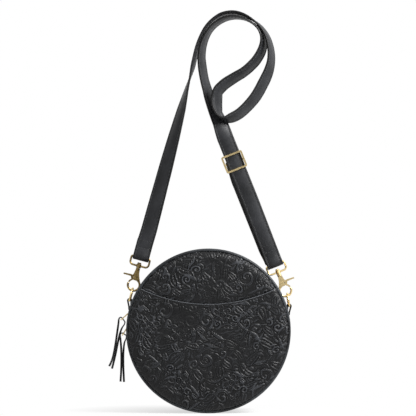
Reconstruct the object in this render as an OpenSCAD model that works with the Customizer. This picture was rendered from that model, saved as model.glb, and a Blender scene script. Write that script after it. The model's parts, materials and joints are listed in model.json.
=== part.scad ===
// Round leather crossbody bag, piped at both rims, with a zip on each side of its centre strip,
// hung by its strap, which is doubled over a peg. Millimetres, +Z up, the front faces -Y.

/* [Bag] */
// Diameter over the piping
bag_d = 200; // [180:1:230]
// Depth between the outer sides of the two pipings
bag_depth = 65; // [60:1:80]
// Thickness of the bag's leather
leather_t = 1.6; // [1.2:0.1:1.8]
// Diameter of the covered piping
piping_d = 4; // [3.4:0.1:4.6]
// Width over which a panel rounds over beside its piping
panel_round_w = 10; // [8:0.5:16]
// Height of that rounding
panel_round_h = 5; // [4:0.5:6]
// Extra rise of a panel from its rounding to its middle
panel_rise = 2; // [1:0.5:4]
// Thickness of the foam behind a panel
foam_t = 2; // [1:0.2:3]
// Thickness of the lining
lining_t = 0.6; // [0.4:0.1:1]
// Thickness of the stiffened wall between the two compartments
divider_t = 1.6; // [1:0.2:3]
// Radius of the pocket's curved mouth
pocket_mouth_r = 189; // [150:1:260]
// Height of the mouth's lowest point over the bag's middle
pocket_mouth_z = 33; // [10:1:45]

/* [Zips] */
// Share of the bag's depth that the strip between the two zips takes
centre_strip_share = 0.3692; // [0.33:0.0001:0.39]
// Width of the gap in the leather that shows a zip
zip_gap = 8; // [7.6:0.1:9]
// Width of one row of teeth
teeth_row_w = 2.2; // [1.8:0.1:2.4]
// Height of the teeth
teeth_t = 2.2; // [1.8:0.1:2.4]
// Gap between the two rows, which the slider's wedge runs in
teeth_slit = 1.2; // [1:0.1:1.4]
// Length of one tooth with its gap
tooth_pitch = 3.6; // [3:0.2:6]
// Angle by which the zips run down past the bag's middle at each side
zip_drop = 4; // [0:0.5:8]
// Rest angle of the front zip's slider over the bag's middle
front_slider_angle = 13.5; // [8:0.5:20]
// Rest angle of the back zip's slider
back_slider_angle = 3.5; // [2:0.5:6]
// Length of a slider along its zip
slider_l = 9; // [8:0.5:11]
// Length of a pull between its two holes
pull_l = 12.5; // [10:0.5:15]
// Swing of the front pull away from the bag at rest
front_pull_angle = 48; // [44:1:60]
// Swing of the back pull away from the bag at rest
back_pull_angle = 32; // [30:1:50]

/* [Rings and tabs] */
// Wire of a ring
ring_wire = 2.6; // [2.2:0.1:3]
// Gap between a ring's two arms
ring_gap = 16; // [15:0.5:20]
// Height of a ring between the middles of its bar and its top
ring_h = 15.3; // [14.5:0.1:20]
// Width of a tab
tab_w = 14.4; // [10:0.2:14.6]
// Length of a tab along the bag below its ring
tab_l = 16; // [12:0.5:22]
// Angle up the bag's rim of the left ring's bar, as a share of the left leg's lean over the hang
left_tab_share = 1.1229; // [0.95:0.0001:1.4]
// The same on the right
right_tab_share = 1.5726; // [1.4:0.0001:2]
// Lean of the left ring from upright, towards the bag
left_ring_lean = 14; // [8:0.5:18]
// Lean of the right ring from upright, towards the bag
right_ring_lean = 8; // [4:0.5:14]

/* [Clasps] */
// Wire of the loop that holds the strap
eye_wire = 2.4; // [2:0.1:2.8]
// Height of that loop between the middles of its two bars
eye_h = 10.6; // [10:0.1:13]
// Wire of the hook
hook_wire = 2.6; // [2.2:0.1:2.8]
// Radius of the hook's bow, to the middle of its wire
bow_r = 7.2; // [6.8:0.1:8]
// Length of a hook from its swivel to the middle of its bow
hook_l = 21.6; // [20:0.1:26]
// Radius of the swivel's pin
swivel_r = 1.4; // [1.2:0.1:1.6]
// Length of the thumb lever past the hook
lever_l = 9; // [6:0.5:12]

/* [Strap] */
// Width of the strap
strap_w = 19.6; // [18:0.2:20.4]
// Thickness of the strap, two layers sewn together
strap_t = 2.4; // [2:0.1:2.6]
// Thickness of the strap where it is thinned to turn round the slide
return_t = 1.6; // [1.2:0.1:1.8]
// Length of the turned end above a bar
turn_l = 22; // [16:1:30]
// Share of the right leg's length below the slide
slide_share = 0.7287; // [0.6:0.0001:0.76]
// Width of the slide
slide_w = 27; // [26:0.2:30]
// Length of the slide along the strap
slide_l = 21.5; // [19:0.5:26]
// Thickness of the slide's bars
slide_bar = 2.2; // [1.8:0.1:2.6]
// Height of the peg's top over the bag's middle
hang_h = 384; // [380:1:400]
// How far the peg stands to the right of the bag's middle
hang_x = 28; // [20:1:34]

/* [Laces] */
// Width of a lace
lace_w = 3; // [2.4:0.1:3.4]
// Thickness of a lace
lace_t = 1.5; // [1.2:0.1:1.8]

/* [Hidden] */

// Clearances
fit = 0.1;
run = 0.25;
pin_fit = 0.04;
cut = 1;
body_fn = 96;
wire_fn = 48;

// Seam: the piping's middle, and places measured along and across the seam, which runs
// inwards at 45 degrees from the piping. Across is positive on the panel's side.
seam_len = 8.5;
flange_t = 0.8;
flange_l = 9;
piping_r = (bag_d - piping_d) / 2;
piping_h = (bag_depth - piping_d) / 2;
function seam(along, across) = [
    piping_r - (along + across) * sqrt(0.5),
    piping_h - (along - across) * sqrt(0.5)
];
layer = leather_t + 1.5 * fit;
seam_face = flange_t / 2 + fit + leather_t / 2;
seam_turn = piping_d / 2 + fit + leather_t / 2;

// Zip geometry, across the bag's depth
gusset_r = bag_d / 2 - 3 * leather_t / 1.6;
strip_r = gusset_r - leather_t;
centre_strip_w = bag_depth * centre_strip_share;
zip_h = centre_strip_w / 2 + zip_gap / 2;
zip_a0 = -zip_drop;
zip_a1 = 180 + zip_drop;
tape_t = 0.8;
tape_r = strip_r - fit - tape_t;
tape_mid_r = tape_r + tape_t / 2;
teeth_r0 = tape_mid_r - teeth_t / 2;
teeth_r1 = tape_mid_r + teeth_t / 2;
teeth_in = teeth_slit / 2;
teeth_out = teeth_in + teeth_row_w;
tape_out = teeth_out + 4;
slider_plate = 1.3;
slider_clear = 0.3;
slider_w = zip_gap - 2 * slider_clear;
slider_flange = 0.6;
slider_wedge = teeth_slit - 2 * slider_clear;
slider_top_r = teeth_r1 + slider_clear;
slider_bottom_r = teeth_r0 - slider_clear;
bail_wire = 1.2;
bail_r = 2;
bail_mid_r = slider_top_r + slider_plate;
pull_bar = 1;
pull_pivot_r = bail_mid_r + (bail_r - bail_wire / 2) / 2;
pull_t = 1.4;
pull_w = 4.6;
pull_window_w = 2.4;
pull_window_l = 3.6;
pull_end_r = 2.8;
lace_hole_r = lace_w / 2 + 0.3;

// Rings and tabs
bar_stand = ring_wire / 2 + run + leather_t + 3;
ring_bar_r = gusset_r + bar_stand;
tab_turn_r = ring_wire / 2 + run + leather_t / 2;

// Clasps. A clasp's own frame has its origin under the swivel's boss and +Z towards the strap.
boss_h = 5;
boss_r = 2.9;
eye_bottom_z = boss_h / 2;
eye_top_z = eye_bottom_z + eye_h;
eye_half_w = strap_w / 2 + 0.6 + eye_wire / 2;
collar_r = 2.6;
collar_h = 2.9;
hook_body_t = 3.8;
gate_t = 1.6;
gate_pin_r = 0.8;
gate_w = 2;
gate_pivot = [-2.4, -hook_l + 9.4];
gate_a0 = 124;
nose_a = 176;
gate_a1 = nose_a - 14;
hold_gap = ring_wire / 2 + hook_wire / 2 + run;

function up(angle) = [sin(angle), 0, cos(angle)];
// Places in the bag's frame, whose origin is the bag's middle
function rim_point(r, a) = [r * cos(a), 0, r * sin(a)];
left_reach_a = atan((bag_d / 2 + hang_x) / hang_h);
right_reach_a = atan((bag_d / 2 - hang_x) / hang_h);
left_tab_angle = left_tab_share * left_reach_a;
right_tab_angle = right_tab_share * right_reach_a;
left_bar = rim_point(ring_bar_r, 180 - left_tab_angle);
right_bar = rim_point(ring_bar_r, right_tab_angle);
left_hold = left_bar + (ring_h - hold_gap) * up(left_ring_lean);
right_hold = right_bar + (ring_h - hold_gap) * up(-right_ring_lean);

// The strap's loops over the peg, from the left leg's top to the right leg's top.
// Each point is [x, y, z, tilt] from the peg's top, and tilt turns the strap's width away
// from the direction of the bag's depth, to the left of its course when positive.
loops = [
    [-48.5, 0, -62.5, 0], [-46.5, 0, -47.5, 0], [-43, 0, -33, 0], [-37, 0, -18, 0],
    [-27.5, 0, -5, 0], [-15, 0, 3, 0], [-0.5, 0, 6.5, 0], [14.5, 0, 4, -2],
    [26.5, 0, -3, -6], [35.5, 0, -11.5, -12], [42.5, 0, -20.5, -16], [46.5, 0, -31.5, -20],
    [48.5, 0, -45, -28], [47, 0, -58.5, -35], [44, 0, -70.5, -39], [38.5, -1, -82.5, -40],
    [30, -2, -97.5, -40], [18, -3, -111.5, -37], [7, -5, -120.5, -35], [-4, -7, -124.5, -27],
    [-12, -8, -122.5, 5], [-16.5, -8, -113.5, 30], [-18, -7.5, -103, 40], [-16.5, -6.5, -93, 39],
    [-10, -5, -84.5, 38], [-0.5, -4, -77, 41], [11, -3, -69.5, 41], [20.5, -2, -61, 37],
    [28.5, -1, -51.5, 28], [34, 0, -41.5, 16], [36.5, 0, -32, 6], [35.8, 0, -23.5, 0],
    [31.2, 0, -15.5, -3], [24, 0, -8.3, -4], [14, 0, -3, -5], [3, 0, 0, -6],
    [-10, 0, -1.5, -11], [-22, 0, -9.5, -17], [-30.5, 0, -20.5, -22], [-36, 0, -34, -26],
    [-37, 0.5, -49, -28], [-36.5, 1, -63.5, -29], [-33.5, 2, -79.5, -30], [-29, 3, -97, -37],
    [-22.5, 3, -114, -49], [-15, 1, -131, -68]
];
// How the left leg turns, from its clasp up: [share of its length, tilt]
left_turn_shares = [
    [0.06, -88], [0.145, -68], [0.3, -57], [0.46, -48], [0.62, -35], [0.78, -20], [0.88, -9], [0.94, -1]
];

peg = [hang_x, 0, hang_h];
function xyz(p) = [p[0], p[1], p[2]];
left_top = peg + xyz(loops[0]);
right_top = peg + xyz(loops[len(loops) - 1]);
function lean_to(from, to) = atan2(to[0] - from[0], to[2] - from[2]);
left_lean = lean_to(left_hold, left_top);
right_lean = lean_to(right_hold, right_top);
clasp_l = hook_l + bow_r;
left_origin = left_hold + clasp_l * up(left_lean);
right_origin = right_hold + clasp_l * up(right_lean);
left_eye_bar = left_origin + eye_top_z * up(left_lean);
right_eye_bar = right_origin + eye_top_z * up(right_lean);

// A path's outline: its points moved to each side by half the thickness, square to the path
function unit(v) = v / norm(v);
function beside(path, d) = [
    for (i = [0:len(path) - 1])
        let (last = len(path) - 1, p = path[i],
            t1 = i == 0 ? unit(path[1] - p) : unit(p - path[i - 1]),
            t2 = i == last ? t1 : unit(path[i + 1] - p))
        p + d * [-t1[1] - t2[1], t1[0] + t2[0]] / (1 + t1 * t2)
];
function reversed(list) = [for (i = [len(list) - 1:-1:0]) list[i]];
function thick(path, t) = concat(beside(path, t / 2), reversed(beside(path, -t / 2)));
function arc(centre, r, a0, a1, n) = [
    for (i = [0:n]) let (a = a0 + (a1 - a0) * i / n) centre + r * [cos(a), sin(a)]
];

// Turns a profile of (radius, height) about the bag's axis, height towards the front
module about_bag(a0 = 0, a1 = 360) {
    rotate([90, 0, 0]) rotate([0, 0, a0]) rotate_extrude(angle = a1 - a0, $fn = body_fn) children();
}
module band(r0, r1, h0, h1, a0 = 0, a1 = 360) {
    about_bag(a0, a1) translate([r0, h0]) square([r1 - r0, h1 - h0]);
}
// Draws what is modelled round the bag's middle in the part's frame
module in_bag() {
    translate(-peg) children();
}
module backwards() {
    mirror([0, 1, 0]) children();
}
module rightwards() {
    mirror([1, 0, 0]) children();
}

// Panels: the line of a panel's leather from its middle to its rim and in along the seam
rim = seam(0, seam_turn);
round_r = rim[0] - panel_round_w;
round_end = 84;
crown_h = rim[1] + panel_round_h * sin(round_end);
function dome_line(n) = [
    for (i = [0:n - 1])
        let (s = i / n) [round_r * s, crown_h + panel_rise * (1 - s * s)]
];
function rounding(n) = [
    for (i = [n:-1:1])
        let (a = round_end * i / n)
        [round_r + panel_round_w * cos(a), rim[1] + panel_round_h * sin(a)]
];
face_line = concat(dome_line(4), rounding(7));
seam_line = concat(
    arc([piping_r, piping_h], seam_turn + fit, 165, 225 - asin(seam_face / seam_turn), 1),
    [seam(seam_len, seam_face)]
);
function panel_line(inner) = beside(concat(face_line, seam_line), -inner);
// The middle of each solid of revolution is closed on the axis
function on_axis(points) = [for (p = points) [max(p[0], 0), p[1]]];
function until(path, r) = [for (p = path) if (p[0] <= r) p];

module panel(inner) {
    about_bag() polygon(on_axis(thick(panel_line(inner), leather_t)));
}
module inner_disc(inner, t, r) {
    about_bag() polygon(on_axis(thick(until(beside(face_line, -inner), r), t)));
}
panel_inner = layer;
foam_inner = panel_inner + leather_t / 2 + fit + foam_t / 2;
lining_inner = foam_inner + foam_t / 2 + fit + lining_t / 2;
inner_disc_r = round_r + panel_round_w / 2;

module front_panel() {
    color("#2b2c2e") panel(panel_inner);
}
module back_panel() {
    color("#2b2c2e") backwards() panel(0);
}
module front_foam() {
    color("#8a8a86") inner_disc(foam_inner, foam_t, inner_disc_r);
}
module back_foam() {
    color("#8a8a86") backwards() inner_disc(foam_inner - layer, foam_t, inner_disc_r);
}
module front_lining() {
    color("#3a3330") inner_disc(lining_inner, lining_t, inner_disc_r);
}
module back_lining() {
    color("#3a3330") backwards() inner_disc(lining_inner - layer, lining_t, inner_disc_r);
}
// The pocket is a second layer over the panel, open along its curved upper edge
module front_pocket() {
    color("#2f3032") difference() {
        panel(0);
        translate([0, 0, pocket_mouth_z + pocket_mouth_r]) rotate([90, 0, 0])
            cylinder(r = pocket_mouth_r, h = bag_depth, $fn = body_fn);
    }
}

// Piping: a covered cord with its flange sewn into the seam
module piping() {
    about_bag() {
        translate([piping_r, piping_h]) circle(d = piping_d, $fn = wire_fn);
        translate([piping_r, piping_h]) rotate(-135)
            translate([0, -flange_t / 2]) square([flange_l, flange_t]);
    }
}
module front_piping() {
    color("#343537") piping();
}
module back_piping() {
    color("#343537") backwards() piping();
}

// Gusset leather: the line of one edge, from inside the seam to its flat run
wall_r = gusset_r - leather_t / 2;
seam_under = seam(2 * leather_t, -seam_face);
// Its edge turns in beside the piping, on a small round, and flares from its flat run
edge_turn_r = 0.56 * leather_t;
edge_reach = piping_d / 2 + fit + leather_t / 2 + edge_turn_r;
edge_across = seam_face + edge_turn_r;
edge_turn = seam(sqrt(edge_reach * edge_reach - edge_across * edge_across), -edge_across);
edge_line = concat(
    [seam(seam_len, -seam_face)], arc(edge_turn, edge_turn_r, 135, -30, 6),
    [[wall_r + 0.35 * leather_t, edge_turn[1] - 1.6 * leather_t],
        [wall_r + 0.06 * leather_t, edge_turn[1] - 2.5 * leather_t],
        [wall_r, edge_turn[1] - 3.3 * leather_t]]
);
function flipped(path) = [for (p = reversed(path)) [p[0], -p[1]]];
module lower_gusset() {
    color("#2a2b2d") about_bag(zip_a1 + fit, 360 + zip_a0 - fit)
        polygon(thick(concat(edge_line, flipped(edge_line)), leather_t));
}
module zip_strip() {
    about_bag(zip_a0, zip_a1)
        polygon(thick(concat(edge_line, [[wall_r, zip_h + zip_gap / 2]]), leather_t));
}
module front_zip_strip() {
    color("#2a2b2d") zip_strip();
}
module back_zip_strip() {
    color("#2a2b2d") backwards() zip_strip();
}
module centre_strip() {
    color("#2a2b2d") band(strip_r, gusset_r, -centre_strip_w / 2, centre_strip_w / 2, zip_a0, zip_a1);
}

// Inside: the lining of the lower gusset, and the wall between the two compartments
gusset_lining_r = strip_r - 2 * fit;
lining_edge_h = seam_under[1] - 4 * leather_t;
module gusset_lining() {
    color("#3a3330") {
        band(gusset_lining_r - lining_t, gusset_lining_r, fit + divider_t / 2, lining_edge_h,
            zip_a1 + fit, 360 + zip_a0 - fit);
        band(gusset_lining_r - lining_t, gusset_lining_r, -lining_edge_h, -fit - divider_t / 2,
            zip_a1 + fit, 360 + zip_a0 - fit);
    }
}
module divider() {
    color("#3a3330") rotate([90, 0, 0])
        cylinder(r = tape_r - 2 * fit, h = divider_t, center = true, $fn = body_fn);
}

// Zips: tapes, rows of teeth with their notches, and the stops at both ends
module zip_side(h0, h1, r0, r1) {
    band(r0, r1, zip_h + h0, zip_h + h1, zip_a0, zip_a1);
    band(r0, r1, zip_h - h1, zip_h - h0, zip_a0, zip_a1);
}
module zip_tape() {
    zip_side(teeth_out + fit / 2, tape_out, tape_r, tape_r + tape_t);
}
stop_l = 4;
stop_angle = stop_l / tape_mid_r * 180 / PI;
teeth_a0 = zip_a0 + 2 * stop_angle;
teeth_a1 = zip_a1 - 2 * stop_angle;
tooth_count = floor((teeth_a1 - teeth_a0) / 180 * PI * tape_mid_r / tooth_pitch);
module teeth_row(h0, notch_at) {
    step = (teeth_a1 - teeth_a0) / tooth_count;
    difference() {
        band(teeth_r0, teeth_r1, h0, h0 + teeth_row_w, teeth_a0, teeth_a1);
        for (i = [0:tooth_count - 1])
            rotate([0, -(teeth_a0 + step * (i + 0.5)), 0])
                translate([tape_mid_r, -notch_at, 0])
                    cube([teeth_t + cut, teeth_row_w, tooth_pitch * 0.45], center = true);
    }
}
module zip_teeth() {
    teeth_row(zip_h + teeth_in, zip_h + teeth_in - teeth_row_w / 4);
    teeth_row(zip_h - teeth_out, zip_h - teeth_in + teeth_row_w / 4);
}
module zip_stops() {
    for (a = [zip_a0 + stop_angle / 2, zip_a1 - stop_angle * 1.5])
        band(teeth_r0, teeth_r1, zip_h - teeth_out, zip_h + teeth_out, a, a + stop_angle);
}
module front_zip_tape() {
    color("#18181a") zip_tape();
}
module back_zip_tape() {
    color("#18181a") backwards() zip_tape();
}
module front_zip_teeth() {
    color("#b8934a") zip_teeth();
}
module back_zip_teeth() {
    color("#b8934a") backwards() zip_teeth();
}
module front_zip_stops() {
    color("#b8934a") zip_stops();
}
module back_zip_stops() {
    color("#b8934a") backwards() zip_stops();
}

// A slider in its own frame: origin on the bag's axis, +X out through it, along the front zip
module slider_body() {
    translate([slider_top_r, -zip_h, 0]) {
        translate([slider_plate / 2, 0, 0])
            cube([slider_plate, slider_w, slider_l], center = true);
        for (s = [-1, 1])
            translate([-slider_flange_h / 2, s * (slider_w - slider_flange) / 2, 0])
                cube([slider_flange_h + fit, slider_flange, slider_l], center = true);
    }
    translate([slider_bottom_r, -zip_h, 0]) {
        translate([-slider_plate / 2, 0, 0])
            cube([slider_plate, slider_w, slider_l], center = true);
        for (s = [-1, 1])
            translate([slider_flange_h / 2, s * (slider_w - slider_flange) / 2, 0])
                cube([slider_flange_h + fit, slider_flange, slider_l], center = true);
    }
    translate([(slider_top_r + slider_bottom_r) / 2, -zip_h, slider_l / 4])
        cube([slider_top_r - slider_bottom_r + slider_plate, slider_wedge, slider_l / 3], center = true);
    translate([bail_mid_r, -zip_h, 0]) rotate([90, 0, 0])
        rotate([0, 0, -90]) rotate_extrude(angle = 180, $fn = wire_fn)
            translate([bail_r, 0]) circle(d = bail_wire, $fn = wire_fn);
}
slider_flange_h = (slider_top_r - slider_bottom_r - tape_t) / 2 - slider_clear;
module at_angle(a) {
    rotate([0, -a, 0]) children();
}
module front_slider() {
    color("#c9a04e") at_angle(180 - front_slider_angle) slider_body();
}
module back_slider() {
    color("#c9a04e") backwards() at_angle(180 - back_slider_angle) slider_body();
}

// A pull in its own frame: origin on its bar, which sits under the slider's bail, hanging to -Z
module upright(t) {
    rotate([90, 0, 90]) linear_extrude(t, center = true) children();
}
module pull_body() {
    rotate([90, 0, 0]) cylinder(d = pull_bar, h = pull_w, center = true, $fn = wire_fn);
    upright(pull_t) difference() {
        union() {
            translate([-pull_w / 2, -pull_l]) square([pull_w, pull_l]);
            translate([0, -pull_l]) circle(r = pull_end_r, $fn = wire_fn);
        }
        translate([-pull_window_w / 2, -pull_window_l])
            square([pull_window_w, pull_window_l + cut]);
        translate([0, -pull_l]) circle(r = lace_hole_r, $fn = wire_fn);
    }
}
function pull_pivot(angle) = rim_point(pull_pivot_r, 180 - angle) - [0, zip_h, 0];
function pull_hole(angle, swing) = pull_pivot(angle) - pull_l * up(swing);
module hung(pivot, swing) {
    translate(pivot) rotate([0, swing, 0]) children();
}
module front_pull() {
    color("#d8b765") hung(pull_pivot(front_slider_angle), front_pull_angle) pull_body();
}
module back_pull() {
    color("#d8b765") backwards() hung(pull_pivot(back_slider_angle), back_pull_angle) pull_body();
}

// Sweeps: a station is [place, direction across, direction through], a section [across, through]
function swept_points(stations, section) = [
    for (s = stations) for (c = section) s[0] + c[0] * s[1] + c[1] * s[2]
];
function swept_faces(rings, n) = concat(
    [for (k = [1:n - 2]) [0, k + 1, k]],
    [for (i = [0:rings - 2]) for (k = [0:n - 1])
        let (a = i * n + k, b = i * n + (k + 1) % n) each [[a, b, b + n], [a, b + n, a + n]]],
    [for (k = [1:n - 2]) let (o = (rings - 1) * n) [o, o + k, o + k + 1]]
);
module sweep(stations, section) {
    polyhedron(swept_points(stations, section), swept_faces(len(stations), len(section)), convexity = 6);
}
// Stations along places with a wished direction across, which is made square to the course
function course_dir(places, i) =
    unit(places[min(i + 1, len(places) - 1)] - places[max(i - 1, 0)]);
function square_to(v, t) = unit(v - (v * t) * t);
function stations(places, across) = [
    for (i = [0:len(places) - 1])
        let (t = course_dir(places, i), b = square_to(across[i], t)) [places[i], b, cross(b, t)]
];
// Rounded-edge section of a strap, and of a lace
function strap_section(w, t) = let (c = t / 4) [
    [w / 2, -t / 2 + c], [w / 2, t / 2 - c], [w / 2 - c, t / 2], [-w / 2 + c, t / 2],
    [-w / 2, t / 2 - c], [-w / 2, -t / 2 + c], [-w / 2 + c, -t / 2], [w / 2 - c, -t / 2]
];

// A smooth curve through points, as n steps from each point to the next
function smooth_at(p0, p1, p2, p3, u) =
    p1 + u * ((p2 - p0) / 2 + u * ((2 * p0 - 5 * p1 + 4 * p2 - p3) / 2
        + u * (3 * p1 - 3 * p2 + p3 - p0) / 2));
function smooth(pts, n) = [
    for (i = [0:len(pts) - 2]) for (j = [0:n - 1])
        smooth_at(pts[max(i - 1, 0)], pts[i], pts[i + 1], pts[min(i + 2, len(pts) - 1)], j / n),
    pts[len(pts) - 1]
];

// Laces: each tail's route from the hole in its pull, hand-laid, [x, y, z]
front_lace_a_route = [
    [2, 0, -2.4], [0.8, 0, -0.9], [0, 0, 0], [-0.8, 0, 0.9], [-1.9, 0, 1.6], [-3.5, 0, 0.9],
    [-4.4, 0, -1.2], [-4.7, 0, -4.5], [-5.4, 0, -10], [-6.8, -0.3, -20], [-8.4, -0.6, -31],
    [-10.8, -0.6, -44], [-13.2, -1, -52], [-16, -1.5, -58]
];
front_lace_b_route = [
    [2.06, 0, -2.48], [2.75, 0, -3.35], [3, 0, -4.8], [2.3, 0, -7.2], [0.3, 0, -12], [-2.4, 0.3, -20],
    [-4.8, 0.6, -31], [-7.4, 0.8, -44], [-9.8, 1.2, -54], [-11.6, 1.5, -61]
];
back_lace_a_route = [
    [2.4, 0, -1.5], [1, 0, -0.6], [0, 0, 0], [-1, 0, 0.6], [-2.3, 0, 0.7], [-3.6, 0, -0.6],
    [-3.9, 0, -3.2], [-3.4, 0, -8], [-2.8, 0.3, -16], [-2.4, 0.5, -28], [-2.6, 0.6, -44],
    [-3.4, 1, -59]
];
back_lace_b_route = [
    [2.48, 0, -1.55], [3.3, 0, -2.1], [3.7, 0, -3.4], [3.3, 0, -6.2], [2.3, 0, -11], [1.3, -0.3, -18],
    [0.8, -0.5, -28], [1, -0.6, -44], [2.6, -1, -59.5]
];
lace_section = [
    for (k = [0:7]) [lace_w / 2 * cos(45 * k + 22.5), lace_t / 2 * sin(45 * k + 22.5)] / cos(22.5)
];
module lace(hole, route) {
    places = [for (p = smooth(route, 2)) hole + p];
    sweep(stations(places, [for (p = places) [0, 1, 0]]), lace_section);
}
function lace_length(route) = let (p = smooth(route, 2)) span(p, len(p) - 1);
function span(p, i) = i == 0 ? 0 : norm(p[i] - p[i - 1]) + span(p, i - 1);
front_hole = pull_hole(front_slider_angle, front_pull_angle);
back_hole = pull_hole(back_slider_angle, back_pull_angle);
module front_lace_a() {
    color("#1f2022") lace(front_hole, front_lace_a_route);
}
module front_lace_b() {
    color("#1f2022") lace(front_hole, front_lace_b_route);
}
module back_lace_a() {
    color("#1f2022") backwards() lace(back_hole, back_lace_a_route);
}
module back_lace_b() {
    color("#1f2022") backwards() lace(back_hole, back_lace_b_route);
}

// Tabs: a strip that turns round the ring's bar, both ends sewn down along the bag, on the right
function polar(r, a) = r * [cos(a), sin(a)];
function tab_path(a) =
    let (under = gusset_r + fit + leather_t / 2, over = under + leather_t + fit,
        bar = polar(ring_bar_r, a), out = polar(1, a), along = polar(1, a + 90),
        step = tab_l / gusset_r * 180 / PI)
    concat(
        [polar(under, a - 1.35 * step), polar(under, a - step), polar(under, a - 0.7 * step)],
        [for (t = [-25:25:205]) bar + tab_turn_r * (-cos(t) * out + sin(t) * along)],
        [polar(over + fit, a - 0.7 * step), polar(over, a - step), polar(over, a - 1.35 * step)]
    );
module tab(a) {
    rotate([90, 0, 0]) linear_extrude(tab_w, center = true) polygon(thick(tab_path(a), leather_t));
}
module left_tab() {
    color("#232426") rightwards() tab(left_tab_angle);
}
module right_tab() {
    color("#232426") tab(right_tab_angle);
}

// Wire pieces in the XZ plane
module rod(from, to, d) {
    v = to - from;
    translate([from[0], 0, from[1]]) rotate([0, atan2(v[0], v[1]), 0])
        cylinder(d = d, h = norm(v), $fn = wire_fn);
}
module bend(centre, r, a0, a1, d) {
    translate([centre[0], 0, centre[1]]) rotate([90, 0, 0]) rotate([0, 0, a0])
        rotate_extrude(angle = a1 - a0, $fn = wire_fn) translate([r, 0]) circle(d = d, $fn = wire_fn);
}
// A ring in its own frame: its bar runs along Y through the origin, and its top is at +Z
ring_r = (ring_gap + ring_wire) / 2;
ring_corner = ring_wire * 0.8;
module ring() {
    rotate([0, 0, 90]) {
        rod([-ring_r + ring_corner, 0], [ring_r - ring_corner, 0], ring_wire);
        for (s = [-1, 1]) {
            bend([s * (ring_r - ring_corner), ring_corner], ring_corner,
                s > 0 ? -90 : 180, s > 0 ? 0 : 270, ring_wire);
            rod([s * ring_r, ring_corner], [s * ring_r, ring_h - ring_r], ring_wire);
        }
        bend([0, ring_h - ring_r], ring_r, 0, 180, ring_wire);
    }
}
module left_ring() {
    color("#c9a04e") hung(left_bar, left_ring_lean) ring();
}
module right_ring() {
    color("#c9a04e") hung(right_bar, -right_ring_lean) ring();
}

// Clasps, in their own frame
eye_top_corner = eye_wire * 0.8;
eye_low_corner = 4;
module eye() {
    w = eye_half_w;
    t = eye_top_corner;
    l = eye_low_corner;
    difference() {
        union() {
            rod([-w + t, eye_top_z], [w - t, eye_top_z], eye_wire);
            rod([-w + l, eye_bottom_z], [w - l, eye_bottom_z], eye_wire);
            for (s = [-1, 1]) {
                bend([s * (w - t), eye_top_z - t], t, s > 0 ? 0 : 90, s > 0 ? 90 : 180, eye_wire);
                bend([s * (w - l), eye_bottom_z + l], l, s > 0 ? -90 : 180, s > 0 ? 0 : 270, eye_wire);
                rod([s * w, eye_bottom_z + l], [s * w, eye_top_z - t], eye_wire);
            }
            cylinder(r = boss_r, h = boss_h, $fn = wire_fn);
        }
        translate([0, 0, -cut]) cylinder(r = swivel_r, h = boss_h + 2 * cut, $fn = wire_fn);
    }
}
head_r = 2.3;
head_h = 1.4;
bow_z = -hook_l;
inner_bow_r = bow_r - hook_wire / 2;
pivot_z = gate_pivot[1];
hook_outline = concat(
    [[-collar_r, -collar_h], [collar_r, -collar_h], [collar_r + 0.5, pivot_z + 5], [4.6, pivot_z + 0.6],
        [bow_r - 0.6, bow_z + 5.4]],
    [for (p = arc([0, bow_z], inner_bow_r, 46, 104, 4)) p],
    [[-4.6, pivot_z - 1.9], [-5, pivot_z + 0.6], [-3.4, pivot_z + 4.6]]
);
module flat_plate(t) {
    rotate([90, 0, 0]) linear_extrude(t, center = true) children();
}
slot_t = gate_t + 4 * fit;
module hook() {
    difference() {
        union() {
            translate([0, 0, -cut]) cylinder(r = swivel_r - pin_fit, h = boss_h + 2 * cut, $fn = wire_fn);
            translate([0, 0, boss_h + run]) cylinder(r = head_r, h = head_h, $fn = wire_fn);
            translate([0, 0, -run - collar_h]) cylinder(r = collar_r, h = collar_h, $fn = wire_fn);
            flat_plate(hook_body_t) polygon(hook_outline);
            bend([0, bow_z], bow_r, nose_a - 360, 48, hook_wire);
            translate([bow_r * cos(nose_a), 0, bow_z + bow_r * sin(nose_a)])
                sphere(d = hook_wire, $fn = wire_fn);
        }
        translate([gate_pivot[0] - bow_r, -slot_t / 2, bow_z + bow_r / 2])
            cube([bow_r + 2.6, slot_t, pivot_z + 2.8 - bow_z - bow_r / 2]);
        translate([gate_pivot[0], 0, pivot_z]) rotate([90, 0, 0])
            cylinder(r = gate_pin_r + pin_fit / 2, h = hook_body_t + cut, center = true, $fn = wire_fn);
    }
}
// The gate swings on its pin; its lever stands out level with the pin
lever_z = pivot_z + 1.6;
lever_h = 2.4;
lever_x0 = gate_pivot[0] - 4;
lever_x1 = lever_x0 - lever_l;
gate_eye_r = 2;
gate_outline = concat(
    arc(gate_pivot, gate_eye_r, -70, 80, 8),
    [[lever_x0, lever_z + lever_h / 2], [lever_x1, lever_z + lever_h * 0.3],
        [lever_x1 - lever_h / 5, lever_z - lever_h * 0.1], [lever_x1, lever_z - lever_h * 0.45],
        [lever_x0, lever_z - lever_h / 2]],
    arc([0, bow_z], bow_r + gate_w / 2, gate_a0 + 2, gate_a1, 6),
    arc([0, bow_z], bow_r - gate_w / 2, gate_a1, gate_a0 - 4, 6)
);
module gate() {
    difference() {
        flat_plate(gate_t) polygon(gate_outline);
        translate([gate_pivot[0], 0, pivot_z]) rotate([90, 0, 0])
            cylinder(r = gate_pin_r + pin_fit, h = gate_t + cut, center = true, $fn = wire_fn);
    }
}
module gate_pin() {
    translate([gate_pivot[0], 0, pivot_z]) rotate([90, 0, 0])
        cylinder(r = gate_pin_r, h = hook_body_t, center = true, $fn = wire_fn);
}
module on_left() {
    hung(left_origin, left_lean) children();
}
module on_right() {
    hung(right_origin, right_lean) rightwards() children();
}
module left_eye() {
    color("#a8843f") on_left() eye();
}
module right_eye() {
    color("#a8843f") on_right() eye();
}
module left_hook() {
    color("#b8934a") on_left() hook();
}
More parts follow.
